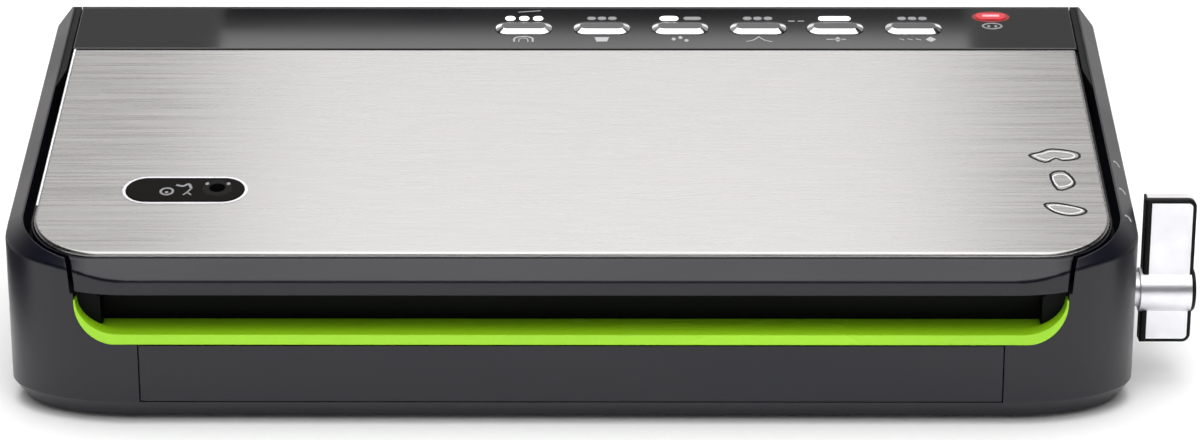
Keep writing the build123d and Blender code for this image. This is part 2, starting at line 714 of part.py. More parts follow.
def make_base_plate():
    top = SHELL_BOTTOM + BASE_THICK
    with BuildPart() as base_plate:
        extrude(plan_outline(SHELL_BOTTOM, RIM_WIDTH + CREASE_INSET), amount=BASE_THICK)
        # ribs that guide the drip tray: two side rails and two runners underneath it
        rail_length = TRAY_BACK_Y - FRONT_Y - RAIL_SHORT
        rail_y = FRONT_Y + RAIL_START + rail_length / 2
        with BuildSketch(GROUND.offset(top)):
            for side in SIDES:
                with Locations((side * (TRAY_BODY_HALF + RAIL_WIDTH), rail_y)):
                    Rectangle(RAIL_WIDTH, rail_length)
        extrude(amount=RAIL_HEIGHT)
        with BuildSketch(GROUND.offset(top)):
            for side in SIDES:
                with Locations((side * TRAY_BODY_HALF * RUNNER_SHARE, rail_y)):
                    Rectangle(RAIL_WIDTH, rail_length)
        extrude(amount=TRAY_FLOOR_Z - TRAY_GAP - top)
        # posts for the power board and the lock sensor
        with BuildSketch(GROUND.offset(top)):
            with Locations((BOARD_X, BOARD_Y)):
                with GridLocations(BOARD_SIZE - BOARD_POST_INSET, BOARD_SIZE - BOARD_POST_INSET, 2, 2):
                    Circle(BOARD_POST_RADIUS)
        extrude(amount=BOARD_Z - top)
        extrude(plan_rectangle(top, SENSOR_X, SENSOR_Y, *SENSOR_FOOT), amount=SENSOR_Z - top)
        # vents below the pump, recesses for the feet, countersunk screw holes
        with BuildSketch(GROUND.offset(SHELL_BOTTOM)):
            with Locations(VENT_PLACE):
                with GridLocations(*VENT_PITCH, *VENT_ROWS):
                    SlotOverall(*VENT_SLOT)
        extrude(amount=BASE_THICK, mode=Mode.SUBTRACT)
        with BuildSketch(GROUND.offset(SHELL_BOTTOM)):
            with Locations(*FEET):
                Circle(FOOT_RADIUS)
        extrude(amount=FOOT_RECESS, mode=Mode.SUBTRACT)
        with Locations(GROUND.offset(SHELL_BOTTOM) * Rotation(180, 0, 0)):
            with Locations(*[(x, -y) for x, y in BASE_SCREWS]):
                CounterSinkHole(SCREW_RADIUS, SCREW_HEAD_RADIUS, BASE_THICK, SCREW_HEAD_ANGLE)
    return base_plate.part


def make_rubber_feet():
    with BuildPart() as rubber_feet:
        with BuildSketch(GROUND):
            with Locations(*FEET):
                Circle(FOOT_RADIUS)
        extrude(amount=SHELL_BOTTOM + FOOT_RECESS)
        chamfer(rubber_feet.edges().group_by(Axis.Z)[0], FOOT_EDGE)
    return rubber_feet.part


def make_base_screws():
    with BuildPart() as base_screws:
        with BuildSketch(GROUND.offset(SHELL_BOTTOM)):
            with Locations(*BASE_SCREWS):
                Circle(SCREW_RADIUS)
        extrude(amount=SCREW_LENGTH)
        with BuildSketch(GROUND.offset(SHELL_BOTTOM)):
            with Locations(*BASE_SCREWS):
                Circle(SCREW_HEAD_RADIUS)
        extrude(amount=SCREW_HEAD_RADIUS - SCREW_RADIUS, taper=SCREW_TAPER)
        with BuildSketch(GROUND.offset(SHELL_BOTTOM)):
            with Locations(*BASE_SCREWS):
                Rectangle(CROSS_LENGTH, CROSS_WIDTH)
                Rectangle(CROSS_WIDTH, CROSS_LENGTH)
        extrude(amount=CROSS_DEPTH, mode=Mode.SUBTRACT)
    return base_screws.part


def make_slot_guide(envelope):
    """The liner of the bag slot: a floor, and a lip in front whose ends turn up and thin out."""
    with BuildPart() as slot_guide:
        extrude(mouth_outline(GUIDE_LIP_DEPTH), amount=GUIDE_LIP_DEPTH)
        lip_face = slot_guide.faces().sort_by(Axis.Y)[0]
        lip_edges = lip_face.edges()
        fillet(lip_edges - lip_edges.filter_by(Axis.Z) - [lip_edges.sort_by(Axis.Z)[-1]], GUIDE_EDGE_RADIUS)
        extrude(
            front_rectangle(MOUTH_DEPTH, THROAT_HALF_WIDTH, MOUTH_BOTTOM, MOUTH_BOTTOM + GUIDE_THICK),
            amount=MOUTH_DEPTH - GUIDE_LIP_DEPTH,
        )
        extrude(guide_hollow(), amount=-GUIDE_LIP_DEPTH, mode=Mode.SUBTRACT)
        add(envelope, mode=Mode.INTERSECT)
        extrude(
            plan_rectangle(GUIDE_TOP, 0, FRONT_Y, BODY_WIDTH, 4 * MOUTH_DEPTH),
            amount=EDGE_Z,
            mode=Mode.SUBTRACT,
        )
    return slot_guide.part


def make_drip_tray():
    """Front panel with a shallow tray behind it."""
    panel_half = TRAY_HALF_WIDTH - TRAY_GAP
    panel_bottom = CREASE_Z + TRAY_GAP
    panel_top = MOUTH_BOTTOM - TRAY_GAP
    tray_front = FRONT_Y + WALL
    tray_length = TRAY_BACK_Y - tray_front
    tray_y = (TRAY_BACK_Y + tray_front) / 2
    with BuildPart() as drip_tray:
        extrude(
            plan_rectangle(panel_bottom, 0, FRONT_Y + WALL / 2, 2 * panel_half, WALL),
            amount=panel_top - panel_bottom,
        )
        panel_face = drip_tray.faces().sort_by(Axis.Y)[0]
        chamfer(
            panel_face.edges().filter_by(Axis.Z),
            length=PANEL_EASE,
            length2=PANEL_EASE_DEPTH,
            reference=panel_face,
        )
        extrude(
            plan_rectangle(TRAY_FLOOR_Z, 0, tray_y, 2 * TRAY_BODY_HALF, tray_length),
            amount=TRAY_RIM_Z - TRAY_FLOOR_Z,
        )
        extrude(
            plan_rectangle(
                TRAY_FLOOR_Z + TRAY_WALL,
                0,
                tray_y,
                2 * (TRAY_BODY_HALF - TRAY_WALL),
                tray_length - 2 * TRAY_WALL,
            ),
            amount=TRAY_RIM_Z,
            mode=Mode.SUBTRACT,
        )
    return drip_tray.part


# ---- Sealing platform ----------------------------------------------------------------------------
def make_seal_bar():
    """The bar that carries the heater in a groove along its top."""
    with BuildPart() as seal_bar:
        extrude(
            slope_rectangle(PLATFORM_TOP, SEAL_HALF_WIDTH, *SEAL_T), amount=SEAL_BAR_TOP - PLATFORM_TOP
        )
        extrude(
            slope_rectangle(SEAL_BAR_TOP - HEATER_THICK, HEATER_HALF_WIDTH, *HEATER_T),
            amount=SHORT_CUT,
            mode=Mode.SUBTRACT,
        )
    return seal_bar.part


def make_heater_strip():
    with BuildPart() as heater_strip:
        extrude(
            slope_rectangle(SEAL_BAR_TOP - HEATER_THICK, HEATER_HALF_WIDTH, *HEATER_T),
            amount=HEATER_THICK,
        )
    return heater_strip.part


def make_heater_tape():
    with BuildPart() as heater_tape:
        extrude(
            slope_rectangle(
                SEAL_BAR_TOP, SEAL_HALF_WIDTH - TAPE_INSET, SEAL_T[0] + TAPE_INSET, SEAL_T[1] - TAPE_INSET
            ),
            amount=TAPE_THICK,
        )
    return heater_tape.part


def make_gasket(level, thick):
    """A closed foam band round the vacuum channel; both halves of the seal have this outline."""
    length = 2 * GASKET_HALF_WIDTH
    width = GASKET_T[1] - GASKET_T[0]
    with BuildPart() as gasket:
        with BuildSketch(TOP.offset(level)):
            with Locations((0, sum(GASKET_T) / 2)):
                RectangleRounded(length, width, GASKET_CORNER)
                RectangleRounded(
                    length - 2 * GASKET_BAND,
                    width - 2 * GASKET_BAND,
                    GASKET_CORNER - GASKET_BAND,
                    mode=Mode.SUBTRACT,
                )
        extrude(amount=thick)
    return gasket.part


def make_vacuum_channel():
    """Trough that the bag's mouth hangs into, with the pump's outlet and a drain over the tray."""
    outer = (CHANNEL_T[0] - CHANNEL_WALL, CHANNEL_T[1] + CHANNEL_WALL)
    bottom = CHANNEL_FLOOR - CHANNEL_WALL
    with BuildPart() as vacuum_channel:
        extrude(
            slope_rectangle(bottom, CHANNEL_HALF_WIDTH + CHANNEL_WALL, *outer),
            amount=PLATFORM_TOP - bottom,
        )
        extrude(
            slope_rectangle(CHANNEL_FLOOR, CHANNEL_HALF_WIDTH, *CHANNEL_T),
            amount=LONG_CUT,
            mode=Mode.SUBTRACT,
        )
        extrude(slope_discs(bottom, [(OUTLET_X, OUTLET_T)], NIPPLE_RADIUS), amount=-NIPPLE_LENGTH)
        extrude(
            slope_discs(bottom - NIPPLE_LENGTH, [(OUTLET_X, OUTLET_T)], NIPPLE_BORE),
            amount=NIPPLE_LENGTH + SHORT_CUT,
            mode=Mode.SUBTRACT,
        )
        extrude(
            slope_discs(bottom, [(DRAIN_X, DRAIN_T)], NIPPLE_BORE), amount=SHORT_CUT, mode=Mode.SUBTRACT
        )
    return vacuum_channel.part


# ---- Pump and electrics ---------------------------------------------------------------------------
def make_pump_bracket():
    top = SHELL_BOTTOM + BASE_THICK
    with BuildPart() as pump_bracket:
        extrude(
            plan_rectangle(top, PUMP_FACE_X + BRACKET_LENGTH / 2, PUMP_Y, BRACKET_LENGTH, BRACKET_WIDTH),
            amount=BRACKET_THICK,
        )
        with BuildSketch(SIDE.offset(PUMP_FACE_X - BRACKET_THICK)):
            with Locations((PUMP_Y, (top + PUMP_Z + MOTOR_RADIUS) / 2)):
                Rectangle(BRACKET_WIDTH, PUMP_Z + MOTOR_RADIUS - top)
            with Locations((PUMP_Y, PUMP_Z)):
                Circle(MOTOR_BOSS_RADIUS, mode=Mode.SUBTRACT)
        extrude(amount=BRACKET_THICK)
    return pump_bracket.part


def make_pump_motor():
    with BuildPart() as pump_motor:
        extrude(side_disc(PUMP_FACE_X, PUMP_Y, PUMP_Z, MOTOR_RADIUS), amount=MOTOR_LENGTH)
        chamfer(pump_motor.edges().filter_by(GeomType.CIRCLE), MOTOR_EDGE)
        extrude(
            side_disc(PUMP_FACE_X - BRACKET_THICK, PUMP_Y, PUMP_Z, MOTOR_BOSS_RADIUS),
            amount=MOTOR_BOSS_LENGTH,
        )
        extrude(
            side_disc(PUMP_FACE_X + MOTOR_LENGTH, PUMP_Y, PUMP_Z, MOTOR_REAR_BOSS),
            amount=MOTOR_BOSS_LENGTH,
        )
        extrude(
            side_disc(PUMP_FACE_X - WALL, PUMP_Y, PUMP_Z, PIN_HOLE_RADIUS),
            amount=MEDIUM_CUT,
            mode=Mode.SUBTRACT,
        )
    return pump_motor.part


def make_pump_eccentric():
    """Motor shaft with the eccentric that drives the piston."""
    with BuildPart() as pump_eccentric:
        extrude(
            side_disc(PUMP_AXIS_X - PUMP_SHAFT_START, PUMP_Y, PUMP_Z, PIN_RADIUS),
            amount=PUMP_SHAFT_LENGTH,
        )
        extrude(
            side_disc(PUMP_AXIS_X - ECCENTRIC_WIDTH / 2, PUMP_Y + CRANK_OFFSET, PUMP_Z, CRANK_RADIUS),
            amount=ECCENTRIC_WIDTH,
        )
    return pump_eccentric.part


def make_pump_head():
    """Cylinder block on its foot, with inlet and outlet nipples."""
    top = SHELL_BOTTOM + BASE_THICK
    head_length = HEAD_Y[1] - HEAD_Y[0]
    head_y = sum(HEAD_Y) / 2
    with BuildPart() as pump_head:
        extrude(
            plan_rectangle(PUMP_Z - HEAD_SIZE / 2, PUMP_AXIS_X, head_y, HEAD_SIZE, head_length),
            amount=HEAD_SIZE,
        )
        chamfer(pump_head.edges().filter_by(Axis.Y), HEAD_EDGE)
        foot_length = HEAD_SIZE - HEAD_FOOT_INSET[0]
        foot_width = head_length - HEAD_FOOT_INSET[1]
        extrude(
            plan_rectangle(top, PUMP_AXIS_X, head_y, foot_length, foot_width),
            amount=PUMP_Z - HEAD_SIZE / 2 - top,
        )
        with BuildSketch(Plane.XZ.offset(-HEAD_Y[1])):
            with Locations((MIDDLE_X + PUMP_AXIS_X, PUMP_Z)):
                Circle(PISTON_RADIUS + PISTON_CLEARANCE)
        extrude(amount=HEAD_BORE_DEPTH, mode=Mode.SUBTRACT)
        extrude(
            side_disc(PUMP_AXIS_X + HEAD_SIZE / 2, INLET_Y, PUMP_Z, NIPPLE_RADIUS),
            amount=NIPPLE_LENGTH,
        )
        extrude(
            side_disc(PUMP_AXIS_X, INLET_Y, PUMP_Z, NIPPLE_BORE),
            amount=HEAD_SIZE / 2 + NIPPLE_LENGTH,
            mode=Mode.SUBTRACT,
        )
    return pump_head.part


def make_pump_piston():
    """Piston, rod and the ring round the eccentric, at the outer end of its stroke."""
    ring_y = PUMP_Y + CRANK_OFFSET
    with BuildPart() as pump_piston:
        with BuildSketch(Plane.XZ.offset(-PISTON_Y[1])):
            with Locations((MIDDLE_X + PUMP_AXIS_X, PUMP_Z)):
                Circle(PISTON_RADIUS)
        extrude(amount=PISTON_Y[1] - PISTON_Y[0])
        with BuildSketch(SIDE.offset(PUMP_AXIS_X - ECCENTRIC_WIDTH / 2)):
            with Locations((ring_y, PUMP_Z)):
                Circle(ROD_RING_RADIUS + ROD_RING_WALL)
            with Locations(((PISTON_Y[1] + ring_y) / 2, PUMP_Z)):
                Rectangle(ring_y - PISTON_Y[1], ROD_WIDTH)
            with Locations((ring_y, PUMP_Z)):
                Circle(ROD_RING_RADIUS, mode=Mode.SUBTRACT)
        extrude(amount=ECCENTRIC_WIDTH)
    return pump_piston.part


def make_vacuum_hose():
    """Hose from the channel's outlet to the pump's inlet, pushed over both nipples."""
    bottom = CHANNEL_FLOOR - CHANNEL_WALL
    start_y, start_z = on_slope(OUTLET_T, bottom - HOSE_OVERLAP)
    turn_y = start_y + (start_z - PUMP_Z) * tan(radians(SLOPE))
    outlet_x = MIDDLE_X + OUTLET_X
    with BuildPart() as vacuum_hose:
        with BuildLine() as route:
            FilletPolyline(
                (outlet_x, start_y, start_z),
                (outlet_x, turn_y, PUMP_Z),
                (outlet_x, INLET_Y, PUMP_Z),
                (MIDDLE_X + PUMP_AXIS_X + HEAD_SIZE / 2 + HOSE_OVERLAP, INLET_Y, PUMP_Z),
                radius=HOSE_BEND,
            )
        with BuildSketch(Plane(origin=route.line @ 0, z_dir=route.line % 0)):
            Circle(HOSE_RADIUS)
            Circle(NIPPLE_RADIUS, mode=Mode.SUBTRACT)
        sweep()
    return vacuum_hose.part


def make_transformer_core():
    top = SHELL_BOTTOM + BASE_THICK
    with BuildPart() as transformer_core:
        extrude(plan_rectangle(top, CORE_X, CORE_Y, CORE_LENGTH, CORE_DEPTH), amount=CORE_HEIGHT)
        for side in SIDES:
            extrude(
                plan_rectangle(
                    top + CORE_LEG,
                    CORE_X + side * (CORE_LEG + WINDOW_WIDTH / 2),
                    CORE_Y,
                    WINDOW_WIDTH,
                    CORE_DEPTH,
                ),
                amount=CORE_HEIGHT - 2 * CORE_LEG,
                mode=Mode.SUBTRACT,
            )
    return transformer_core.part


def make_transformer_coil():
    bottom = SHELL_BOTTOM + BASE_THICK + CORE_LEG
    with BuildPart() as transformer_coil:
        with BuildSketch(GROUND.offset(bottom)):
            with Locations((CORE_X, CORE_Y)):
                RectangleRounded(2 * (CORE_LEG + WINDOW_WIDTH), 2 * CORE_DEPTH, COIL_CORNER)
                Rectangle(2 * CORE_LEG, CORE_DEPTH, mode=Mode.SUBTRACT)
        extrude(amount=CORE_HEIGHT - 2 * CORE_LEG)
    return transformer_coil.part


def make_power_board():
    with BuildPart() as power_board:
        extrude(plan_rectangle(BOARD_Z, BOARD_X, BOARD_Y, BOARD_SIZE, BOARD_SIZE), amount=BOARD_THICK)
    return power_board.part


def make_board_components():
    """Two capacitors, a relay, a terminal block and a heat sink, standing on the power board."""
    level = BOARD_Z + BOARD_THICK
    with BuildPart() as board_components:
        with BuildSketch(GROUND.offset(level)):
            with Locations(*[(BOARD_X + x, BOARD_Y + y) for x, y in CAPACITORS]):
                Circle(CAPACITOR_RADIUS)
        extrude(amount=CAPACITOR_HEIGHT)
        for x, y, length, width, height in BLOCKS:
            extrude(plan_rectangle(level, BOARD_X + x, BOARD_Y + y, length, width), amount=height)
    return board_components.part


def make_lock_sensor():
    with BuildPart() as lock_sensor:
        extrude(
            plan_rectangle(SENSOR_Z, SENSOR_X, SENSOR_Y, SENSOR_LENGTH, SENSOR_WIDTH),
            amount=SENSOR_HEIGHT,
        )
    return lock_sensor.part


def make_cord_gland():
    """Ring in the rear wall that the power lead would pass through."""
    with BuildPart() as cord_gland:
        with BuildSketch(FRONT.offset(WALL - BODY_DEPTH)):
            with Locations((GLAND_X, GLAND_Z)):
                Circle(GLAND_RADIUS)
        extrude(amount=-WALL)
        for start in (WALL, -GLAND_FLANGE):
            with BuildSketch(FRONT.offset(start - BODY_DEPTH)):
                with Locations((GLAND_X, GLAND_Z)):
                    Circle(GLAND_RADIUS + GLAND_COLLAR)
            extrude(amount=GLAND_FLANGE)
        with BuildSketch(FRONT.offset(2 * WALL - BODY_DEPTH)):
            with Locations((GLAND_X, GLAND_Z)):
                Circle(GLAND_BORE)
        extrude(amount=-4 * WALL, mode=Mode.SUBTRACT)
    return cord_gland.part


# ---- Lid --------------------------------------------------------------------------------------------
def make_lid_frame(envelope):
    """The moulded lid: front lip, side walls, hinge barrel, and seats for plate and strip."""
    barrel_half = LID_HALF_WIDTH - BARREL_INSET
    with BuildPart() as lid_frame:
        extrude(lid_outline(LID_UNDERSIDE, PAST_REAR_T), amount=LONG_CUT)
        add(envelope, mode=Mode.INTERSECT)
        extrude(side_disc(-barrel_half, HINGE_Y, HINGE_Z, BARREL_RADIUS), amount=2 * barrel_half)
        # seats for the steel plate and the control strip
        seat_end = (PLATE_LENGTH + STRIP_START) / 2
        extrude(
            slope_rectangle(LEDGE_LEVEL, HALF_WIDTH, -LONG_CUT, seat_end),
            amount=SHORT_CUT,
            mode=Mode.SUBTRACT,
        )
        extrude(plate_outline(-PLATE_RIM), amount=PLATE_RIM, mode=Mode.SUBTRACT)
        extrude(plate_outline(-PLATE_RIM, PLATE_RIM_WIDTH), amount=PLATE_RIM - PLATE_THICK)
        extrude(
            slope_rectangle(-STRIP_THICK, HALF_WIDTH, seat_end, STRIP_END),
            amount=SHORT_CUT,
            mode=Mode.SUBTRACT,
        )
        # hollow underside, then screw bosses inside it
        with BuildSketch(TOP.offset(LID_UNDERSIDE)) as hollow:
            with Locations((0, sum(LINER_T) / 2)):
                Rectangle(2 * LINER_HALF_WIDTH, LINER_T[1] - LINER_T[0])
            fillet(hollow.vertices().group_by(Axis.Y)[0], LINER_CORNER)
        extrude(amount=LID_WALL_LEVEL - LID_UNDERSIDE, mode=Mode.SUBTRACT)
        extrude(
            slope_discs(LINER_TOP, LID_SCREWS, BOSS_RADIUS), amount=LID_WALL_LEVEL - LINER_TOP
        )
        extrude(
            slope_discs(LINER_TOP, LID_SCREWS, LID_SCREW_RADIUS),
            amount=LID_SCREW_DEPTH,
            mode=Mode.SUBTRACT,
        )
        # wells for the buttons and the accessory port
        for x in BUTTON_X:
            extrude(
                slope_pill(
                    LID_WALL_LEVEL,
                    x,
                    BUTTON_T,
                    BUTTON_LENGTH + 2 * (FLANGE_LIP + BUTTON_GAP),
                    BUTTON_HEIGHT + 2 * (FLANGE_LIP + BUTTON_GAP),
                ),
                amount=SHORT_CUT,
                mode=Mode.SUBTRACT,
            )
        extrude(
            slope_pill(LID_WALL_LEVEL, PORT_PILL_X, PORT_PILL_T, PORT_PILL_LENGTH, PORT_PILL_WIDTH),
            amount=SHORT_CUT,
            mode=Mode.SUBTRACT,
        )
        # notches round the housing's ears, and the pin holes beside them
        for side in SIDES:
            notch_width = EAR_WIDTH + 2 * EAR_NOTCH_GAP
            extrude(
                side_disc(side * EAR_X - notch_width / 2, HINGE_Y, HINGE_Z, GROOVE_RADIUS),
                amount=notch_width,
                mode=Mode.SUBTRACT,
            )
            extrude(
                side_disc(side * EAR_X - PIN_LENGTH / 2, HINGE_Y, HINGE_Z, PIN_HOLE_RADIUS),
                amount=PIN_LENGTH,
                mode=Mode.SUBTRACT,
            )
    return lid_frame.part


def make_steel_top_plate():
    """Pressed sheet with its edge rolled down all round."""
    with BuildPart() as steel_top_plate:
        extrude(plate_outline(-PLATE_RIM), amount=PLATE_RIM)
        plate_face = steel_top_plate.faces().sort_by(Axis((0, 0, 0), TOP.z_dir))[-1]
        fillet(plate_face.edges(), PLATE_EDGE_RADIUS)
        extrude(
            plate_outline(-PLATE_RIM, PLATE_RIM_WIDTH), amount=PLATE_RIM - PLATE_THICK, mode=Mode.SUBTRACT
        )
        extrude(
            slope_pill(-PLATE_RIM, PORT_PILL_X, PORT_PILL_T, PORT_PILL_LENGTH, PORT_PILL_WIDTH),
            amount=SHORT_CUT,
            mode=Mode.SUBTRACT,
        )
    return steel_top_plate.part


def make_control_strip():
    with BuildPart() as control_strip:
        extrude(
            slope_rectangle(-STRIP_THICK, LID_HALF_WIDTH, STRIP_START, STRIP_END), amount=STRIP_THICK
        )
        chamfer(control_strip.faces().sort_by(Axis((0, 0, 0), TOP.z_dir))[-1].edges(), STRIP_EDGE)
        for x in BUTTON_X:
            extrude(
                slope_pill(
                    -STRIP_THICK,
                    x,
                    BUTTON_T,
                    BUTTON_LENGTH + 2 * BUTTON_GAP,
                    BUTTON_HEIGHT + 2 * BUTTON_GAP,
                ),
                amount=SHORT_CUT,
                mode=Mode.SUBTRACT,
            )
        for x, t, length, width in LIGHTS_LIT + LIGHTS_DIM:
            extrude(slope_pill(-STRIP_THICK, x, t, length, width), amount=SHORT_CUT, mode=Mode.SUBTRACT)
        extrude(
            slope_pill(-STRIP_THICK, INDICATOR_X, INDICATOR_T, INDICATOR_LENGTH, INDICATOR_WIDTH),
            amount=SHORT_CUT,
            mode=Mode.SUBTRACT,
        )
    return control_strip.part


def make_lights(windows):
    """Small light pipes, one for each window in the control strip."""
    with BuildPart() as lights:
        for x, t, length, width in windows:
            extrude(slope_pill(-STRIP_THICK, x, t, length, width), amount=STRIP_THICK + LIGHT_PROUD)
    return lights.part


def make_seal_indicator():
    with BuildPart() as seal_indicator:
        extrude(
            slope_pill(-STRIP_THICK, INDICATOR_X, INDICATOR_T, INDICATOR_LENGTH, INDICATOR_WIDTH),
            amount=STRIP_THICK + INDICATOR_PROUD,
        )
        top_face = seal_indicator.faces().sort_by(Axis((0, 0, 0), TOP.z_dir))[-1]
        fillet(top_face.edges(), INDICATOR_EDGE_RADIUS)
    return seal_indicator.part


def make_button(x):
    """A pill-shaped cap with a wide bevel, held under the strip by its flange."""
    with BuildPart() as button:
        extrude(
            slope_pill(BUTTON_FLANGE_TOP, x, BUTTON_T, BUTTON_LENGTH, BUTTON_HEIGHT),
            amount=BUTTON_PROUD - BUTTON_FLANGE_TOP,
        )
        cap_face = button.faces().sort_by(Axis((0, 0, 0), TOP.z_dir))[-1]
        chamfer(cap_face.edges(), length=BUTTON_BEVEL, length2=BUTTON_BEVEL_DROP, reference=cap_face)
        cap_face = button.faces().sort_by(Axis((0, 0, 0), TOP.z_dir))[-1]
        fillet(cap_face.edges(), BUTTON_EDGE_RADIUS)
        extrude(
            slope_pill(
                BUTTON_FLANGE_TOP,
                x,
                BUTTON_T,
                BUTTON_LENGTH + 2 * FLANGE_LIP,
                BUTTON_HEIGHT + 2 * FLANGE_LIP,
            ),
            amount=-BUTTON_FLANGE_THICK,
        )
    return button.part


def make_control_board():
    with BuildPart() as control_board:
        with BuildSketch(TOP.offset(CONTROL_BOARD_LEVEL)):
            with Locations((CONTROL_BOARD_X, CONTROL_BOARD_T)):
                Rectangle(CONTROL_BOARD_LENGTH, CONTROL_BOARD_WIDTH)
        extrude(amount=BOARD_THICK)
    return control_board.part


def make_tact_switches():
    level = CONTROL_BOARD_LEVEL + BOARD_THICK
    knob_level = SWITCH_TOP - SWITCH_KNOB_HEIGHT
    with BuildPart() as tact_switches:
        with BuildSketch(TOP.offset(level)):
            with Locations(*[(x, BUTTON_T) for x in BUTTON_X]):
                Rectangle(SWITCH_SIZE, SWITCH_SIZE)
        extrude(amount=knob_level - level)
        with BuildSketch(TOP.offset(knob_level)):
            with Locations(*[(x, BUTTON_T) for x in BUTTON_X]):
                Circle(SWITCH_KNOB_RADIUS)
        extrude(amount=SWITCH_KNOB_HEIGHT)
    return tact_switches.part


def make_port_insert():
    """The pill-shaped surround of the accessory port, with a hole for the grommet."""
    with BuildPart() as port_insert:
        extrude(
            slope_pill(
                LID_WALL_LEVEL, PORT_PILL_X, PORT_PILL_T, PORT_PILL_LENGTH, PORT_PILL_WIDTH
            ),
            amount=PORT_PROUD - LID_WALL_LEVEL,
        )
        fillet(port_insert.faces().sort_by(Axis((0, 0, 0), TOP.z_dir))[-1].edges(), PORT_EDGE)
        extrude(
            slope_discs(LID_WALL_LEVEL, [(PORT_X, PORT_T)], GROMMET_RADIUS),
            amount=SHORT_CUT,
            mode=Mode.SUBTRACT,
        )
    return port_insert.part


def make_port_grommet():
    """Rubber tube that takes the accessory hose and opens above the vacuum channel."""
    with BuildPart() as port_grommet:
        extrude(
            slope_discs(LID_UNDERSIDE, [(PORT_X, PORT_T)], GROMMET_RADIUS),
            amount=PORT_PROUD - LID_UNDERSIDE,
        )
        extrude(
            slope_discs(LID_UNDERSIDE, [(PORT_X, PORT_T)], PORT_RADIUS),
            amount=MEDIUM_CUT,
            mode=Mode.SUBTRACT,
        )
    return port_grommet.part


def make_lid_liner():
    """The inner cover that closes the lid's underside."""
    with BuildPart() as lid_liner:
        with BuildSketch(TOP.offset(LID_UNDERSIDE)) as cover:
            with Locations((0, sum(LINER_T) / 2)):
                Rectangle(2 * LINER_HALF_WIDTH, LINER_T[1] - LINER_T[0])
            fillet(cover.vertices().group_by(Axis.Y)[0], LINER_CORNER)
        extrude(amount=LINER_TOP - LID_UNDERSIDE)
        extrude(
            slope_discs(LID_UNDERSIDE, [(PORT_X, PORT_T)], GROMMET_RADIUS),
            amount=SHORT_CUT,
            mode=Mode.SUBTRACT,
        )
        with BuildSketch(TOP.offset(LID_UNDERSIDE)):
            for side in SIDES:
                with Locations((side * KEEPER_TAB_X, KEEPER_T)):
                    Rectangle(KEEPER_TAB_THICK, KEEPER_TAB_WIDTH)
        extrude(amount=SHORT_CUT, mode=Mode.SUBTRACT)
        with Locations(TOP.offset(LID_UNDERSIDE) * Rotation(180, 0, 0)):
            with Locations(*[(x, -t) for x, t in LID_SCREWS]):
                CounterSinkHole(
                    LID_SCREW_RADIUS, LID_SCREW_HEAD, LINER_TOP - LID_UNDERSIDE, SCREW_HEAD_ANGLE
                )
    return lid_liner.part


def make_lid_screws():
    with BuildPart() as lid_screws:
        extrude(
            slope_discs(LID_UNDERSIDE, LID_SCREWS, LID_SCREW_RADIUS),
            amount=LINER_TOP - LID_UNDERSIDE + LID_SCREW_DEPTH,
        )
        extrude(
            slope_discs(LID_UNDERSIDE, LID_SCREWS, LID_SCREW_HEAD),
            amount=LID_SCREW_HEAD - LID_SCREW_RADIUS,
            taper=SCREW_TAPER,
        )
    return lid_screws.part


def make_pressure_strip():
    """Silicone strip that presses the bag on the heater."""
    with BuildPart() as pressure_strip:
        extrude(
            slope_rectangle(
                LID_UNDERSIDE, SEAL_HALF_WIDTH, SEAL_T[0] + TAPE_INSET, SEAL_T[1] - TAPE_INSET
            ),
            amount=-PRESSURE_DEPTH,
        )
        lower_edges = pressure_strip.edges().filter_by(Axis.X).group_by(Axis.Z)[0]
        chamfer(lower_edges, PRESSURE_EDGE)
    return pressure_strip.part


def keeper_place():
    """World y and z of the keeper bar, which lies forward of straight up from the shaft."""
    y = SHAFT_Y - KEEPER_REACH * sin(radians(KEEPER_ANGLE))
    z = SHAFT_Z + KEEPER_REACH * cos(radians(KEEPER_ANGLE))
    return y, z


def make_latch_keepers():
    """One bracket at each end of the lid: a tab through the liner with a cross bar for the hook."""
    bar_y, bar_z = keeper_place()
    bar_start = HOOK_X[0] - KEEPER_BAR_PAST_HOOK
    bar_length = KEEPER_TAB_X + KEEPER_TAB_THICK / 2 - bar_start
    with BuildPart() as latch_keepers:
        with BuildSketch(TOP.offset(LINER_TOP)):
            with Locations((KEEPER_TAB_X, KEEPER_T)):
                Rectangle(KEEPER_FOOT_LENGTH, KEEPER_TAB_WIDTH + 2 * KEEPER_FOOT_LIP)
        extrude(amount=KEEPER_FOOT_THICK)
        with BuildSketch(TOP.offset(LINER_TOP)):
            with Locations((KEEPER_TAB_X, KEEPER_T)):
                Rectangle(KEEPER_TAB_THICK, KEEPER_TAB_WIDTH)
        extrude(amount=-KEEPER_TAB_DEPTH)
        extrude(side_disc(bar_start, bar_y, bar_z, KEEPER_RADIUS), amount=bar_length)
        mirror(about=SIDE)
    return latch_keepers.part


# ---- Latch ------------------------------------------------------------------------------------------
def make_latch_bushes():
    """Plain bushes in the side walls; the right one has the flange that shows behind the lever."""
    bush_length = HALF_WIDTH - WALL - BUSH_INNER_X
    with BuildPart() as latch_bushes:
        extrude(
            side_disc(WALL - HALF_WIDTH, SHAFT_Y, SHAFT_Z, BUSH_RADIUS), amount=bush_length
        )
        extrude(
            side_disc(BUSH_INNER_X, SHAFT_Y, SHAFT_Z, BUSH_RADIUS), amount=bush_length + WALL
        )
        extrude(side_disc(HALF_WIDTH, SHAFT_Y, SHAFT_Z, BUSH_FLANGE_RADIUS), amount=BUSH_FLANGE)
        extrude(
            side_disc(-HALF_WIDTH, SHAFT_Y, SHAFT_Z, SHAFT_HOLE_RADIUS),
            amount=BODY_WIDTH + MEDIUM_CUT,
            mode=Mode.SUBTRACT,
        )
    return latch_bushes.part


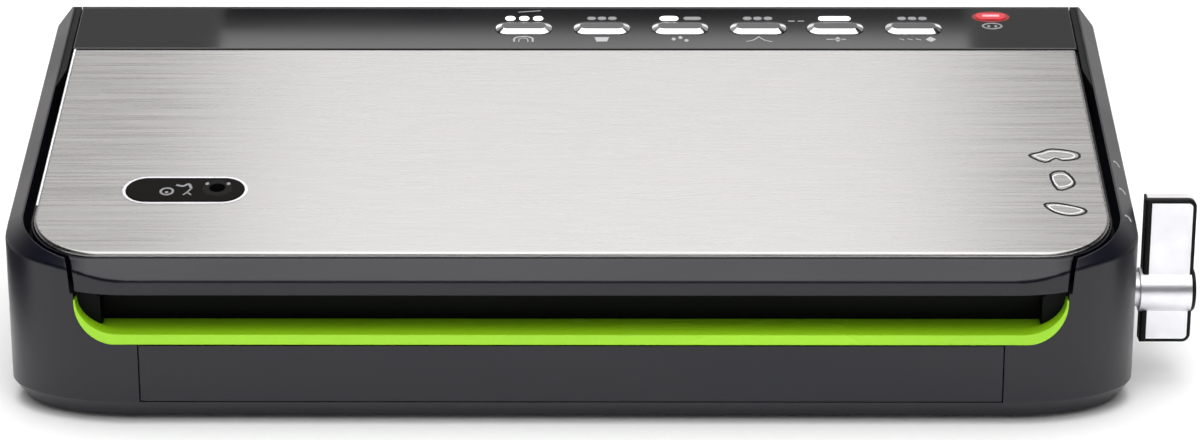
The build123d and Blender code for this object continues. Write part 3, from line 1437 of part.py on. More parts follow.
def make_latch_shaft():
    with BuildPart() as latch_shaft:
        shaft_start = WALL - HALF_WIDTH + SHAFT_END_GAP
        extrude(
            side_disc(shaft_start, SHAFT_Y, SHAFT_Z, SHAFT_RADIUS), amount=SHAFT_END_X - shaft_start
        )
        extrude(
            side_disc(SHAFT_END_X - END_SCREW_LENGTH, SHAFT_Y, SHAFT_Z, END_SCREW_RADIUS),
            amount=END_SCREW_LENGTH,
            mode=Mode.SUBTRACT,
        )
    return latch_shaft.part


def make_latch_hooks():
    """Two hooks on the shaft. Each has a finger concentric with the shaft that passes over a keeper."""
    inner = KEEPER_REACH + KEEPER_RADIUS + KEEPER_CLEARANCE
    finger_radius = (inner + HOOK_OUTER) / 2
    finger = CenterArc((0, 0), finger_radius, HOOK_START_ANGLE, HOOK_FINGER_ANGLE)
    with BuildPart() as latch_hooks:
        with BuildSketch(SIDE.offset(HOOK_X[0])):
            with Locations((SHAFT_Y, SHAFT_Z)):
                Circle(HOOK_HUB_RADIUS)
            with Locations(Location((SHAFT_Y, SHAFT_Z, 0), (0, 0, HOOK_START_ANGLE))):
                Rectangle(finger_radius, HOOK_ARM_WIDTH, align=(Align.MIN, Align.CENTER))
            with Locations((SHAFT_Y, SHAFT_Z)):
                SlotArc(finger, HOOK_OUTER - inner)
                Circle(SHAFT_RADIUS, mode=Mode.SUBTRACT)
        extrude(amount=HOOK_X[1] - HOOK_X[0])
        mirror(about=SIDE)
    return latch_hooks.part


def paddle_outline(y, left, trim):
    """The lever's paddle seen from the front, pulled in by left on the body's side and trim elsewhere."""
    start = LEVER_X[0] + PADDLE_INSET + left
    end = LEVER_X[1] - PADDLE_INSET - trim
    with BuildSketch(Plane.XZ.offset(-y)) as paddle:
        with Locations((MIDDLE_X + (start + end) / 2, (LEVER_TOP_Z + LEVER_BOTTOM_Z) / 2)):
            Rectangle(end - start, LEVER_TOP_Z - LEVER_BOTTOM_Z - 2 * trim)
        fillet(paddle.vertices().group_by(Axis.X)[-1], LEVER_CORNER - trim)
    return paddle.sketch


def make_lever_body():
    """Hub on the shaft's end with a long paddle above and a short one below."""
    with BuildPart() as lever_body:
        extrude(paddle_outline(SHAFT_Y + LEVER_THICK / 2, 0, 0), amount=LEVER_THICK)
        fillet(lever_body.edges().filter_by(Plane.XZ), LEVER_EDGE_RADIUS)
        extrude(
            side_disc(LEVER_X[0], SHAFT_Y, SHAFT_Z, LEVER_HUB_RADIUS), amount=LEVER_X[1] - LEVER_X[0]
        )
        chamfer(lever_body.faces().sort_by(Axis.X)[-1].edges(), LEVER_END_EDGE)
        extrude(
            side_disc(LEVER_X[0], SHAFT_Y, SHAFT_Z, SHAFT_RADIUS), amount=MEDIUM_CUT, mode=Mode.SUBTRACT
        )
        extrude(
            side_disc(SHAFT_END_X, SHAFT_Y, SHAFT_Z, END_SCREW_HEAD),
            amount=MEDIUM_CUT,
            mode=Mode.SUBTRACT,
        )
    return lever_body.part


def make_trim_zone():
    """Where the lever's dark trim runs: round the paddle's front edge, down its inner side, round its end."""
    front_y = SHAFT_Y - LEVER_THICK / 2
    frame_end = LEVER_X[1] - LEVER_TRIM_WIDTH
    with BuildPart() as trim_zone:
        extrude(paddle_outline(front_y, 0, 0), amount=-LEVER_TRIM_DEPTH)
        extrude(
            paddle_outline(front_y, LEVER_TRIM_INNER, LEVER_TRIM_WIDTH),
            amount=-LEVER_TRIM_DEPTH,
            mode=Mode.SUBTRACT,
        )
        with BuildSketch(SIDE.offset(LEVER_X[0] + PADDLE_INSET)):
            with Locations((SHAFT_Y, (LEVER_TOP_Z + LEVER_BOTTOM_Z) / 2)):
                Rectangle(LEVER_THICK, LEVER_TOP_Z - LEVER_BOTTOM_Z)
        extrude(amount=LEVER_SKIN)
        extrude(
            side_disc(LEVER_X[0], SHAFT_Y, SHAFT_Z, LEVER_HUB_RADIUS),
            amount=frame_end - LEVER_X[0],
            mode=Mode.SUBTRACT,
        )
        extrude(side_disc(frame_end, SHAFT_Y, SHAFT_Z, LEVER_HUB_RADIUS), amount=LEVER_TRIM_WIDTH)
    return trim_zone.part


def make_lever(lever_body, trim_zone):
    with BuildPart() as lever:
        add(lever_body)
        add(trim_zone, mode=Mode.SUBTRACT)
    return lever.part


def make_lever_trim(lever_body, trim_zone):
    with BuildPart() as lever_trim:
        add(lever_body)
        add(trim_zone, mode=Mode.INTERSECT)
    return lever_trim.part


def make_lever_washer():
    with BuildPart() as lever_washer:
        extrude(
            side_ring(
                HALF_WIDTH + BUSH_FLANGE + BUTTON_GAP, SHAFT_Y, SHAFT_Z, WASHER_RADIUS, SHAFT_RADIUS
            ),
            amount=LEVER_X[0] - HALF_WIDTH - BUSH_FLANGE - BUTTON_GAP,
        )
    return lever_washer.part


def make_lever_screw():
    with BuildPart() as lever_screw:
        extrude(
            side_disc(SHAFT_END_X, SHAFT_Y, SHAFT_Z, END_SCREW_HEAD), amount=END_SCREW_HEAD_THICK
        )
        with BuildSketch(SIDE.offset(SHAFT_END_X + END_SCREW_HEAD_THICK)):
            with Locations((SHAFT_Y, SHAFT_Z)):
                RegularPolygon(HEX_RADIUS, 6)
        extrude(amount=-HEX_DEPTH, mode=Mode.SUBTRACT)
        extrude(
            side_disc(SHAFT_END_X, SHAFT_Y, SHAFT_Z, END_SCREW_RADIUS), amount=-END_SCREW_LENGTH
        )
    return lever_screw.part


def make_hinge_pins():
    with BuildPart() as hinge_pins:
        for side in SIDES:
            extrude(
                side_disc(side * EAR_X - PIN_LENGTH / 2 + PIN_END_GAP, HINGE_Y, HINGE_Z, PIN_RADIUS),
                amount=PIN_LENGTH - 2 * PIN_END_GAP,
            )
    return hinge_pins.part


# ---- Build every piece and write it -------------------------------------------------------------------
envelope = make_envelope()
shell = make_shell(envelope)
deck_zone = make_deck_zone()
lever_body = make_lever_body()
trim_zone = make_trim_zone()
pieces = {
    "upper_housing": make_upper_housing(shell, deck_zone),
    "sealing_deck": make_sealing_deck(shell, deck_zone),
    "base_plate": make_base_plate(),
    "rubber_feet": make_rubber_feet(),
    "base_screws": make_base_screws(),
    "slot_guide": make_slot_guide(envelope),
    "drip_tray": make_drip_tray(),
    "seal_bar": make_seal_bar(),
    "heater_strip": make_heater_strip(),
    "heater_tape": make_heater_tape(),
    "lower_gasket": make_gasket(PLATFORM_TOP, GASKET_THICK),
    "vacuum_channel": make_vacuum_channel(),
    "pump_bracket": make_pump_bracket(),
    "pump_motor": make_pump_motor(),
    "pump_eccentric": make_pump_eccentric(),
    "pump_head": make_pump_head(),
    "pump_piston": make_pump_piston(),
    "vacuum_hose": make_vacuum_hose(),
    "transformer_core": make_transformer_core(),
    "transformer_coil": make_transformer_coil(),
    "power_board": make_power_board(),
    "board_components": make_board_components(),
    "lock_sensor": make_lock_sensor(),
    "cord_gland": make_cord_gland(),
    "hinge_pins": make_hinge_pins(),
    "lid_frame": make_lid_frame(envelope),
    "steel_top_plate": make_steel_top_plate(),
    "control_strip": make_control_strip(),
    "mode_lights_lit": make_lights(LIGHTS_LIT),
    "mode_lights_dim": make_lights(LIGHTS_DIM),
    "seal_indicator": make_seal_indicator(),
    "control_board": make_control_board(),
    "tact_switches": make_tact_switches(),
    "port_insert": make_port_insert(),
    "port_grommet": make_port_grommet(),
    "lid_liner": make_lid_liner(),
    "lid_screws": make_lid_screws(),
    "upper_gasket": make_gasket(LID_UNDERSIDE, -GASKET_THICK),
    "pressure_strip": make_pressure_strip(),
    "latch_keepers": make_latch_keepers(),
    "latch_bushes": make_latch_bushes(),
    "latch_shaft": make_latch_shaft(),
    "latch_hooks": make_latch_hooks(),
    "lever": make_lever(lever_body, trim_zone),
    "lever_trim": make_lever_trim(lever_body, trim_zone),
    "lever_washer": make_lever_washer(),
    "lever_screw": make_lever_screw(),
}
for number, x in enumerate(BUTTON_X, start=1):
    pieces[f"button_{number}"] = make_button(x)

os.makedirs("parts", exist_ok=True)
for name, piece in pieces.items():
    piece.label = name
    export_step(piece, f"parts/{name}.step")
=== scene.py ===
import json
from math import cos, pi, radians, sin

import bmesh
import bpy
from mathutils import Euler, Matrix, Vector


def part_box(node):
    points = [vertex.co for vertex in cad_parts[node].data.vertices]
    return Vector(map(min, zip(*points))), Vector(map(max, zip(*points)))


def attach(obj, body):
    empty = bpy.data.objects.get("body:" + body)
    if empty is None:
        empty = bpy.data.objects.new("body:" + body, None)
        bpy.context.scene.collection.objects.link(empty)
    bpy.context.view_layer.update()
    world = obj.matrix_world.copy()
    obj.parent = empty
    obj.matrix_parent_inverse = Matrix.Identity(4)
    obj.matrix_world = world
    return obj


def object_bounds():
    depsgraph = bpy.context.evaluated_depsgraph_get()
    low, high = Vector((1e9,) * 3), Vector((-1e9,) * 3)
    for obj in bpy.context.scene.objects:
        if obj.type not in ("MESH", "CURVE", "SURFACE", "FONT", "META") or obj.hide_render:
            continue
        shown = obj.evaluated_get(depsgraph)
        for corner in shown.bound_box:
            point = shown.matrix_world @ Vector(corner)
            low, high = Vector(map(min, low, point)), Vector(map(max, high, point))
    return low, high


# Countertop vacuum sealer: materials, printed marks, trim and a plain studio round the CAD frame.
# Metres, in the frame's own axes: X along the width, +Y to the rear, +Z up.

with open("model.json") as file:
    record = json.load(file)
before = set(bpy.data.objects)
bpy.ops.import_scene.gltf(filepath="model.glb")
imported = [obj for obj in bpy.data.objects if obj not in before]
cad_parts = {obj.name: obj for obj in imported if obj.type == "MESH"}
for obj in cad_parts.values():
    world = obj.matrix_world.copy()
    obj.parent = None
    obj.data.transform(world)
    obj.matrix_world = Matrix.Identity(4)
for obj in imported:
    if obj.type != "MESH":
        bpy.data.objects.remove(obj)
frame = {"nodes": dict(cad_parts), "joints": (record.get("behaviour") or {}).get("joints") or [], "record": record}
CAD_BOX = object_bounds()
MM = 0.001

# ---- Places read from the frame ------------------------------------------------------------------
press_axis = next(j["axis"] for j in frame["joints"] if j["name"] == "button_1_press")
NORMAL = -Vector(press_axis)  # out of the sloped top
UPHILL = Vector((0.0, NORMAL.z, -NORMAL.y))  # up the slope, to the rear
BUTTONS = [f"button_{number}" for number in range(1, 7)]


def span(node, direction):
    """Least and greatest reach of a CAD node along a direction."""
    reach = [direction.dot(vertex.co) for vertex in frame["nodes"][node].data.vertices]
    return min(reach), max(reach)


def centre(node):
    low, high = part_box(node)
    return (low + high) / 2


PLATE_LEVEL = span("steel_top_plate", NORMAL)[1]
PLATE_LENGTH = 147.7 * MM  # up the slope, from the front crease to the control strip
PLATE_FRONT = span("control_strip", UPHILL)[0] - PLATE_LENGTH
MIDDLE_X = centre("steel_top_plate").x


def on_slope(x, t, level=0.0):
    """A point x from the middle, t up the slope from the front crease, level above the plate's face."""
    return Vector((MIDDLE_X + x, 0, 0)) + UPHILL * (PLATE_FRONT + t) + NORMAL * (PLATE_LEVEL + level)


# ---- Materials -------------------------------------------------------------------------------------
COLOR_MIX_INPUTS = (6, 7)  # the two colours' sockets on a mix node; its other sockets share their names
COLOR_MIX_OUTPUT = 2
BEVEL_SAMPLES = 4


class Finish:
    """A Principled material whose colour, roughness and relief come from procedural nodes."""

    def __init__(self, name, color, roughness, metallic=0.0, **sockets):
        self.material = bpy.data.materials.new(name)
        self.material.use_nodes = True
        self.nodes = self.material.node_tree.nodes
        self.links = self.material.node_tree.links
        self.shader = self.nodes["Principled BSDF"]
        self.color = color
        self.shader.inputs["Base Color"].default_value = (*color, 1)
        self.shader.inputs["Roughness"].default_value = roughness
        self.shader.inputs["Metallic"].default_value = metallic
        for socket, value in sockets.items():
            self.shader.inputs[socket.replace("_", " ")].default_value = value
        self.place = self.nodes.new("ShaderNodeTexCoord").outputs["Object"]
        self.relief = None

    def noise(self, size, stretch=(1, 1, 1), detail=2.0):
        """Noise whose grains are about size metres across, longer along an axis with a larger stretch."""
        mapping = self.nodes.new("ShaderNodeMapping")
        mapping.inputs["Scale"].default_value = [1 / (size * share) for share in stretch]
        texture = self.nodes.new("ShaderNodeTexNoise")
        texture.inputs["Scale"].default_value = 1.0
        texture.inputs["Detail"].default_value = detail
        self.links.new(self.place, mapping.inputs["Vector"])
        self.links.new(mapping.outputs["Vector"], texture.inputs["Vector"])
        return texture.outputs["Fac"]

    def spread(self, source, low, high, start=0.3, end=0.7):
        """The source mapped from start..end on to low..high."""
        node = self.nodes.new("ShaderNodeMapRange")
        node.inputs["From Min"].default_value = start
        node.inputs["From Max"].default_value = end
        node.inputs["To Min"].default_value = low
        node.inputs["To Max"].default_value = high
        self.links.new(source, node.inputs["Value"])
        return node.outputs["Result"]

    def vary_roughness(self, source, low, high):
        self.links.new(self.spread(source, low, high), self.shader.inputs["Roughness"])

    def blend_color(self, source, dark, light):
        """Base colour between two shades of the finish's own colour."""
        mix = self.nodes.new("ShaderNodeMix")
        mix.data_type = "RGBA"
        for socket, shade in zip(COLOR_MIX_INPUTS, (dark, light)):
            mix.inputs[socket].default_value = (*[channel * shade for channel in self.color], 1)
        self.links.new(source, mix.inputs["Factor"])
        self.links.new(mix.outputs[COLOR_MIX_OUTPUT], self.shader.inputs["Base Color"])

    def round_edges(self, radius):
        """Softens the shading of sharp edges, as on moulded and pressed parts."""
        bevel = self.nodes.new("ShaderNodeBevel")
        bevel.samples = BEVEL_SAMPLES
        bevel.inputs["Radius"].default_value = radius
        self.relief = bevel.outputs["Normal"]
        self.links.new(self.relief, self.shader.inputs["Normal"])

    def add_relief(self, source, depth):
        """Bump of a depth in metres, on top of what is there."""
        bump = self.nodes.new("ShaderNodeBump")
        bump.inputs["Strength"].default_value = 1.0
        bump.inputs["Distance"].default_value = depth
        self.links.new(source, bump.inputs["Height"])
        if self.relief:
            self.links.new(self.relief, bump.inputs["Normal"])
        self.relief = bump.outputs["Normal"]
        self.links.new(self.relief, self.shader.inputs["Normal"])


def moulded(name, color, roughness, depth=0.01 * MM, edge=0.5 * MM, **sockets):
    """Injection-moulded plastic: fine spark-eroded grain, faint flow marks, softly rounded edges."""
    finish = Finish(name, color, roughness, **sockets)
    finish.round_edges(edge)
    finish.add_relief(finish.noise(0.5 * MM, detail=3), depth)
    flow = finish.noise(35 * MM, stretch=(3, 1, 1))
    finish.vary_roughness(flow, roughness * 0.88, roughness * 1.15)
    finish.blend_color(finish.spread(flow, 0, 1), 0.94, 1.06)
    return finish


def metal(name, color, roughness, stretch=(1, 1, 1), depth=0.004 * MM):
    """Bare or plated metal with grain along one axis or none."""
    finish = Finish(name, color, roughness, metallic=1.0)
    finish.round_edges(0.2 * MM)
    lines = finish.noise(0.3 * MM, stretch=stretch, detail=3)
    finish.add_relief(lines, depth)
    finish.vary_roughness(lines, roughness * 0.8, roughness * 1.2)
    clouds = finish.noise(12 * MM, stretch=stretch)
    finish.blend_color(finish.spread(clouds, 0, 1), 0.93, 1.04)
    return finish


def rubber(name, color, roughness=0.75, grain=0.4 * MM, depth=0.03 * MM, **sockets):
    """Matt rubber, foam or silicone with open pores."""
    finish = Finish(name, color, roughness, **sockets)
    finish.round_edges(0.4 * MM)
    pores = finish.noise(grain, detail=4)
    finish.add_relief(pores, depth)
    finish.blend_color(finish.spread(pores, 0, 1), 0.8, 1.15)
    return finish


def brushed_plate():
    """Stainless sheet brushed along the width, so that its highlights spread up and down the slope."""
    finish = Finish("brushed_plate", (0.42, 0.413, 0.405), 0.28, metallic=1.0, Anisotropic=0.85)
    tangent = finish.nodes.new("ShaderNodeCombineXYZ")
    tangent.inputs["Y"].default_value = UPHILL.y
    tangent.inputs["Z"].default_value = UPHILL.z
    finish.links.new(tangent.outputs["Vector"], finish.shader.inputs["Tangent"])
    finish.round_edges(0.3 * MM)
    fine = finish.noise(0.22 * MM, stretch=(90, 1, 1), detail=4)
    coarse = finish.noise(1.2 * MM, stretch=(60, 1, 1), detail=2)
    finish.add_relief(fine, 0.003 * MM)
    finish.vary_roughness(coarse, 0.24, 0.33)
    finish.blend_color(finish.spread(fine, 0, 1), 0.93, 1.05)
    return finish


RIM_ROUGHNESS = 0.12
TOP_ROUGHNESS = 0.42
TOP_FACING = (0.985, 0.995)  # cosine between a face and the slope's normal, where rim turns to top


def button_metal_with_painted_shade():
    """Plated buttons: satin on the flat top, polished on the slanted rim; the top's colour is painted dark as
    painted shade and the rim's painted light as painted highlight.
    """
    finish = Finish("silver_button", (0.9, 0.9, 0.92), RIM_ROUGHNESS, metallic=1.0)
    finish.round_edges(0.15 * MM)
    facing = finish.nodes.new("ShaderNodeNewGeometry").outputs["True Normal"]
    flat = finish.nodes.new("ShaderNodeVectorMath")
    flat.operation = "DOT_PRODUCT"
    flat.inputs[1].default_value = NORMAL
    finish.links.new(facing, flat.inputs[0])
    top = finish.spread(flat.outputs["Value"], 0, 1, *TOP_FACING)
    # Painted shade and painted highlight: base colour dark on faces that look along the slope's normal, light on
    # the slanted rim.
    finish.blend_color(top, 0.72, 0.14)
    roughness = finish.spread(top, RIM_ROUGHNESS, TOP_ROUGHNESS, 0, 1)
    finish.links.new(roughness, finish.shader.inputs["Roughness"])
    return finish


def glow(name, color, strength):
    """A lit window: diffusing plastic with its light behind it, brighter in the middle of its grain."""
    finish = Finish(name, color, 0.35, Emission_Color=(*color, 1), Emission_Strength=strength)
    finish.blend_color(finish.spread(finish.noise(1.5 * MM), 0, 1), 0.92, 1.05)
    return finish


def laminated_core():
    """Stacked transformer sheets."""
    finish = Finish("laminated_core", (0.22, 0.22, 0.23), 0.45, metallic=0.8)
    wave = finish.nodes.new("ShaderNodeTexWave")
    wave.bands_direction = "Y"
    wave.inputs["Scale"].default_value = 1 / (3 * MM)
    finish.links.new(finish.place, wave.inputs["Vector"])
    finish.add_relief(wave.outputs["Fac"], 0.1 * MM)
    finish.blend_color(wave.outputs["Fac"], 0.6, 1.1)
    return finish


FINISHES = {
    "charcoal_plastic": moulded("charcoal_plastic", (0.003, 0.003, 0.008), 0.34),
    "lid_plastic": moulded("lid_plastic", (0.003, 0.003, 0.007), 0.28, edge=0.8 * MM),
    "green_plastic": moulded("green_plastic", (0.35, 0.74, 0.012), 0.25, depth=0.002 * MM),
    "tray_plastic": moulded("tray_plastic", (0.003, 0.003, 0.008), 0.34),
    "brushed_plate": brushed_plate(),
    "panel_gloss": moulded(
        "panel_gloss", (0.004, 0.004, 0.005), 0.05, depth=0.0002 * MM, Specular_IOR_Level=0.65
    ),
    "silver_button": button_metal_with_painted_shade(),
    "silver_lever": metal("silver_lever", (0.87, 0.87, 0.9), 0.38, depth=0.001 * MM),
    "machined_steel": metal("machined_steel", (0.5, 0.5, 0.51), 0.3, stretch=(1, 20, 1)),
    "zinc_screw": metal("zinc_screw", (0.6, 0.6, 0.58), 0.32),
    "black_rubber": rubber("black_rubber", (0.006, 0.006, 0.006), Specular_IOR_Level=0.15),
    "foam_gasket": rubber("foam_gasket", (0.006, 0.006, 0.007), 0.9, grain=0.8 * MM, depth=0.12 * MM),
    "silicone_strip": rubber("silicone_strip", (0.3, 0.06, 0.04), 0.55),
    "heater_alloy": metal("heater_alloy", (0.5, 0.46, 0.4), 0.35, stretch=(60, 1, 1)),
    "ptfe_tape": rubber("ptfe_tape", (0.3, 0.18, 0.09), 0.5, grain=0.35 * MM),
    "seal_bar_plastic": moulded("seal_bar_plastic", (0.05, 0.045, 0.04), 0.6),
    "channel_plastic": moulded("channel_plastic", (0.03, 0.03, 0.033), 0.4),
    "liner_plastic": moulded("liner_plastic", (0.03, 0.03, 0.033), 0.42),
    "pcb_green": moulded("pcb_green", (0.01, 0.09, 0.03), 0.3),
    "component_black": moulded("component_black", (0.006, 0.006, 0.006), 0.5, Specular_IOR_Level=0.15),
    "light_lit": glow("light_lit", (0.95, 0.97, 1.0), 1.6),
    "light_dim": moulded("light_dim", (0.22, 0.22, 0.23), 0.35),
    "indicator_red": glow("indicator_red", (0.42, 0.012, 0.02), 0.5),
    "port_plastic": moulded("port_plastic", (0.005, 0.0045, 0.004), 0.5, Specular_IOR_Level=0.03),
    "motor_steel": metal("motor_steel", (0.5, 0.5, 0.5), 0.35, stretch=(20, 1, 1)),
    "pump_plastic": moulded("pump_plastic", (0.03, 0.03, 0.033), 0.5),
    "hose_silicone": rubber("hose_silicone", (0.55, 0.55, 0.52), 0.4),
    "laminated_core": laminated_core(),
    "coil_tape": rubber("coil_tape", (0.6, 0.38, 0.05), 0.4),
}


def dress_frame():
    """Every CAD node takes the finish of its material slot."""
    for subpart in frame["record"]["subparts"]:
        node = frame["nodes"][subpart["node"]]
        node.data.materials.clear()
        node.data.materials.append(FINISHES[subpart["material_slot"]].material)
        for polygon in node.data.polygons:
            polygon.material_index = 0


dress_frame()
# Painted shade: the sealing deck inside the slot gets a darker, duller copy of the charcoal plastic, so the slot's
# interior reads black.
frame["nodes"]["sealing_deck"].data.materials[0] = moulded(
    "deck_painted_shade", (0.002, 0.002, 0.003), 0.5, Specular_IOR_Level=0.12
).material


# ---- Printed marks, small trim, painted highlights, glow and shade -------------------------------------
class Film:
    """Thin film for print and for painted highlights, glow and shade: flat shapes a hair proud of a surface,
    gathered into one mesh.
    """

    def __init__(self, name, level, thick=0.06 * MM, place=on_slope):
        self.name = name
        self.level = level
        self.thick = thick
        self.place = place
        self.bmesh = bmesh.new()

    def band(self, left, right, closed):
        """A strip between two lines of points, with a thickness."""
        rows = []
        for line, rise in ((left, 1), (right, 1), (right, -1), (left, -1)):
            level = self.level + rise * self.thick
            rows.append([self.bmesh.verts.new(self.place(x * MM, t * MM, level)) for x, t in line])
        count = len(left)
        for step in range(count if closed else count - 1):
            after = (step + 1) % count
            for row in range(4):
                low, high = rows[row], rows[(row + 1) % 4]
                self.bmesh.faces.new((low[step], low[after], high[after], high[step]))
        if not closed:
            for end in (0, -1):
                self.bmesh.faces.new([row[end] for row in rows])

    def stroke(self, points, width, closed=False, smooth=0):
        """A line of a width through points, mitred at its corners, curved where smooth."""
        path = [Vector(point) for point in points]
        if smooth:
            path = curve_through(path, smooth, closed)
        count = len(path)
        left, right = [], []
        for index, point in enumerate(path):
            before = path[index - 1] if closed or index else None
            after = path[(index + 1) % count] if closed or index < count - 1 else None
            sides = [side(*pair) for pair in ((before, point), (point, after)) if None not in pair]
            mitre = sum(sides, Vector((0, 0))).normalized()
            reach = width / 2 / max(mitre.dot(sides[0]), 0.4)
            left.append(point + mitre * reach)
            right.append(point - mitre * reach)
        self.band(left, right, closed)

    def ring(self, x, t, size, width):
        self.stroke(oval(x, t, size), width, closed=True)

    def patch(self, outline):
        """A filled shape."""
        for rise in (1, -1):
            level = self.level + rise * self.thick
            corners = [self.bmesh.verts.new(self.place(x * MM, t * MM, level)) for x, t in outline]
            self.bmesh.faces.new(corners)
        corners = self.bmesh.verts[:]
        count = len(outline)
        top, bottom = corners[-2 * count : -count], corners[-count:]
        for step in range(count):
            after = (step + 1) % count
            self.bmesh.faces.new((top[step], top[after], bottom[after], bottom[step]))

    def finish(self, slot, body="lid"):
        """The film as an object that rides on a body, in the finish of a material slot."""
        bmesh.ops.recalc_face_normals(self.bmesh, faces=self.bmesh.faces)
        mesh = bpy.data.meshes.new(self.name)
        self.bmesh.to_mesh(mesh)
        self.bmesh.free()
        mesh.materials.append(FINISHES[slot].material)
        piece = bpy.data.objects.new(self.name, mesh)
        bpy.context.scene.collection.objects.link(piece)
        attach(piece, body)
        return piece


def side(start, end):
    """Unit direction to the left of a run."""
    along = (end - start).normalized()
    return Vector((-along.y, along.x))


def curve_through(points, steps, closed):
    """A smooth line through points, with a number of steps between each two."""
    count = len(points)
    path = []
    for index in range(count if closed else count - 1):
        places = [index + shift for shift in (-1, 0, 1, 2)]
        if closed:
            places = [place % count for place in places]
        else:
            places = [min(max(place, 0), count - 1) for place in places]
        before, start, end, after = [points[place] for place in places]
        for step in range(steps):
            share = step / steps
            path.append(
                (
                    2 * start
                    + (end - before) * share
                    + (2 * before - 5 * start + 4 * end - after) * share**2
                    + (3 * start - before - 3 * end + after) * share**3
                )
                / 2
            )
    if not closed:
        path.append(points[-1])
    return path


def oval(x, t, size, steps=20):
    """Points round an ellipse of a given width and height."""
    turns = [2 * pi * step / steps for step in range(steps)]
    return [Vector((x + size[0] / 2 * cos(turn), t + size[1] / 2 * sin(turn))) for turn in turns]


def moved(points, x, t):
    return [(x + dx, t + dt) for dx, dt in points]


STRIP_LEVEL = span("control_strip", NORMAL)[1] - PLATE_LEVEL
PILL_LEVEL = span("port_insert", NORMAL)[1] - PLATE_LEVEL
BUTTON_X = [(centre(button).x - MIDDLE_X) / MM for button in BUTTONS]
MARK_T = 154.8  # up the slope, the middle of the symbols below the buttons


def middle_of(node):
    """A node's middle in millimetres: x from the machine's middle, t up the slope."""
    x = sum(span(node, Vector((1, 0, 0)))) / 2 - MIDDLE_X
    return x / MM, (sum(span(node, UPHILL)) / 2 - PLATE_FRONT) / MM


def make_strip_marks():
    """Generic function symbols below the buttons, and the small symbols between the lights."""
    marks = Film("strip_marks", STRIP_LEVEL)
    first, second, third, fourth, fifth, sixth = BUTTON_X
    outer = [(-3.7, -2), (-3.4, 1), (0, 2.2), (3.4, 1), (3.7, -2)]
    inner = [(-1.8, -2), (-1.6, 0.2), (0, 0.9), (1.6, 0.2), (1.8, -2)]
    marks.stroke(moved(outer, first, MARK_T), 0.8, smooth=6)
    marks.stroke(moved(inner, first, MARK_T), 0.5, smooth=6)
    marks.patch(moved([(-2.2, -1.8), (2.2, -1.8), (3.0, 1.7), (-3.0, 1.7)], second, MARK_T))
    for dx, dt in ((-2.7, 0.2), (0, 1.4), (2.4, -0.9)):
        marks.patch(oval(third + dx, MARK_T + dt, (1.7, 2.3)))
    peak = [(-5.2, -1.9), (-2.2, -0.7), (0, 2), (2.2, -0.7), (5.2, -1.9)]
    marks.stroke(moved(peak, fourth, MARK_T), 0.6)
    marks.stroke(moved([(-4, 0), (4, 0)], fifth, MARK_T), 0.7)
    marks.patch(moved([(-1, 0), (0.6, -2), (2.2, 0), (0.6, 2)], fifth, MARK_T))
    for dx in (-5.2, -1.9, 1.4):
        marks.stroke(moved([(dx - 1, 0.5), (dx + 1, -0.5)], sixth, MARK_T), 0.5)
    marks.patch(moved([(4.2, 0), (6.4, -2.2), (8.6, 0), (6.4, 2.2)], sixth, MARK_T))
    link = (fourth + fifth) / 2
    for dx in (-1.9, 1.9):
        marks.stroke([(link + dx - 1.3, 169.4), (link + dx + 1.3, 169.4)], 0.6)
    marks.stroke([(first - 2.5, 176.6), (first + 6.5, 177.8)], 0.5)
    marks.finish("light_dim").data.materials[0] = grey_print().material


def grey_print():
    return moulded("grey_print", (0.42, 0.42, 0.43), 0.6, Specular_IOR_Level=0.2)


def make_lock_symbol():
    """The small symbol below the indicator: a ring with two dots."""
    x = (centre("seal_indicator").x - MIDDLE_X) / MM
    symbol = Film("lock_symbol", STRIP_LEVEL)
    symbol.ring(x, 165.5, (7.6, 4.4), 0.9)
    for dx in (-1.4, 1.4):
        symbol.patch(oval(x + dx, 165.3, (1.3, 2.0)))
    symbol.finish("light_dim")


def make_indicator_painted_glow():
    """A painted red glow: an emissive ring on the dark panel round the indicator, standing in for its light spill;
    and a painted highlight: a glowing pink stripe across the indicator.
    """
    x, t = middle_of("seal_indicator")
    # Painted glow: the ring emits red light on the panel round the indicator.
    painted_glow = Film("indicator_painted_glow", STRIP_LEVEL, 0.04 * MM)
    painted_glow.ring(x, t, (13.9, 7.2), 1.4)
    painted_glow.finish("indicator_red").data.materials[0] = painted_glow_finish().material
    # Painted highlight: a glowing pink stripe across the indicator's top.
    core_highlight = Film("indicator_core_highlight", span("seal_indicator", NORMAL)[1] - PLATE_LEVEL, 0.03 * MM)
    core_highlight.stroke([(x - 3.4, t), (x + 3.4, t)], 1.5)
    highlight_pink = glow("painted_highlight_pink", (0.75, 0.3, 0.36), 0.45)
    core_highlight.finish("indicator_red").data.materials[0] = highlight_pink.material


# Emissive red for the painted glow on the panel round the indicator.
def painted_glow_finish():
    light = {"Emission_Color": (0.3, 0.006, 0.012, 1), "Emission_Strength": 0.5}
    return Finish("painted_glow_red", (0.1, 0.005, 0.005), 0.4, **light)


def pill_outline(length, width, x, t, steps=10):
    """Points round a rounded bar that lies along the width."""
    points = []
    for end in (1, -1):
        for step in range(steps + 1):
            turn = pi * step / steps - pi / 2
            reach = end * (length - width) / 2
            points.append((x + reach + end * width / 2 * cos(turn), t + end * width / 2 * sin(turn)))
    return points


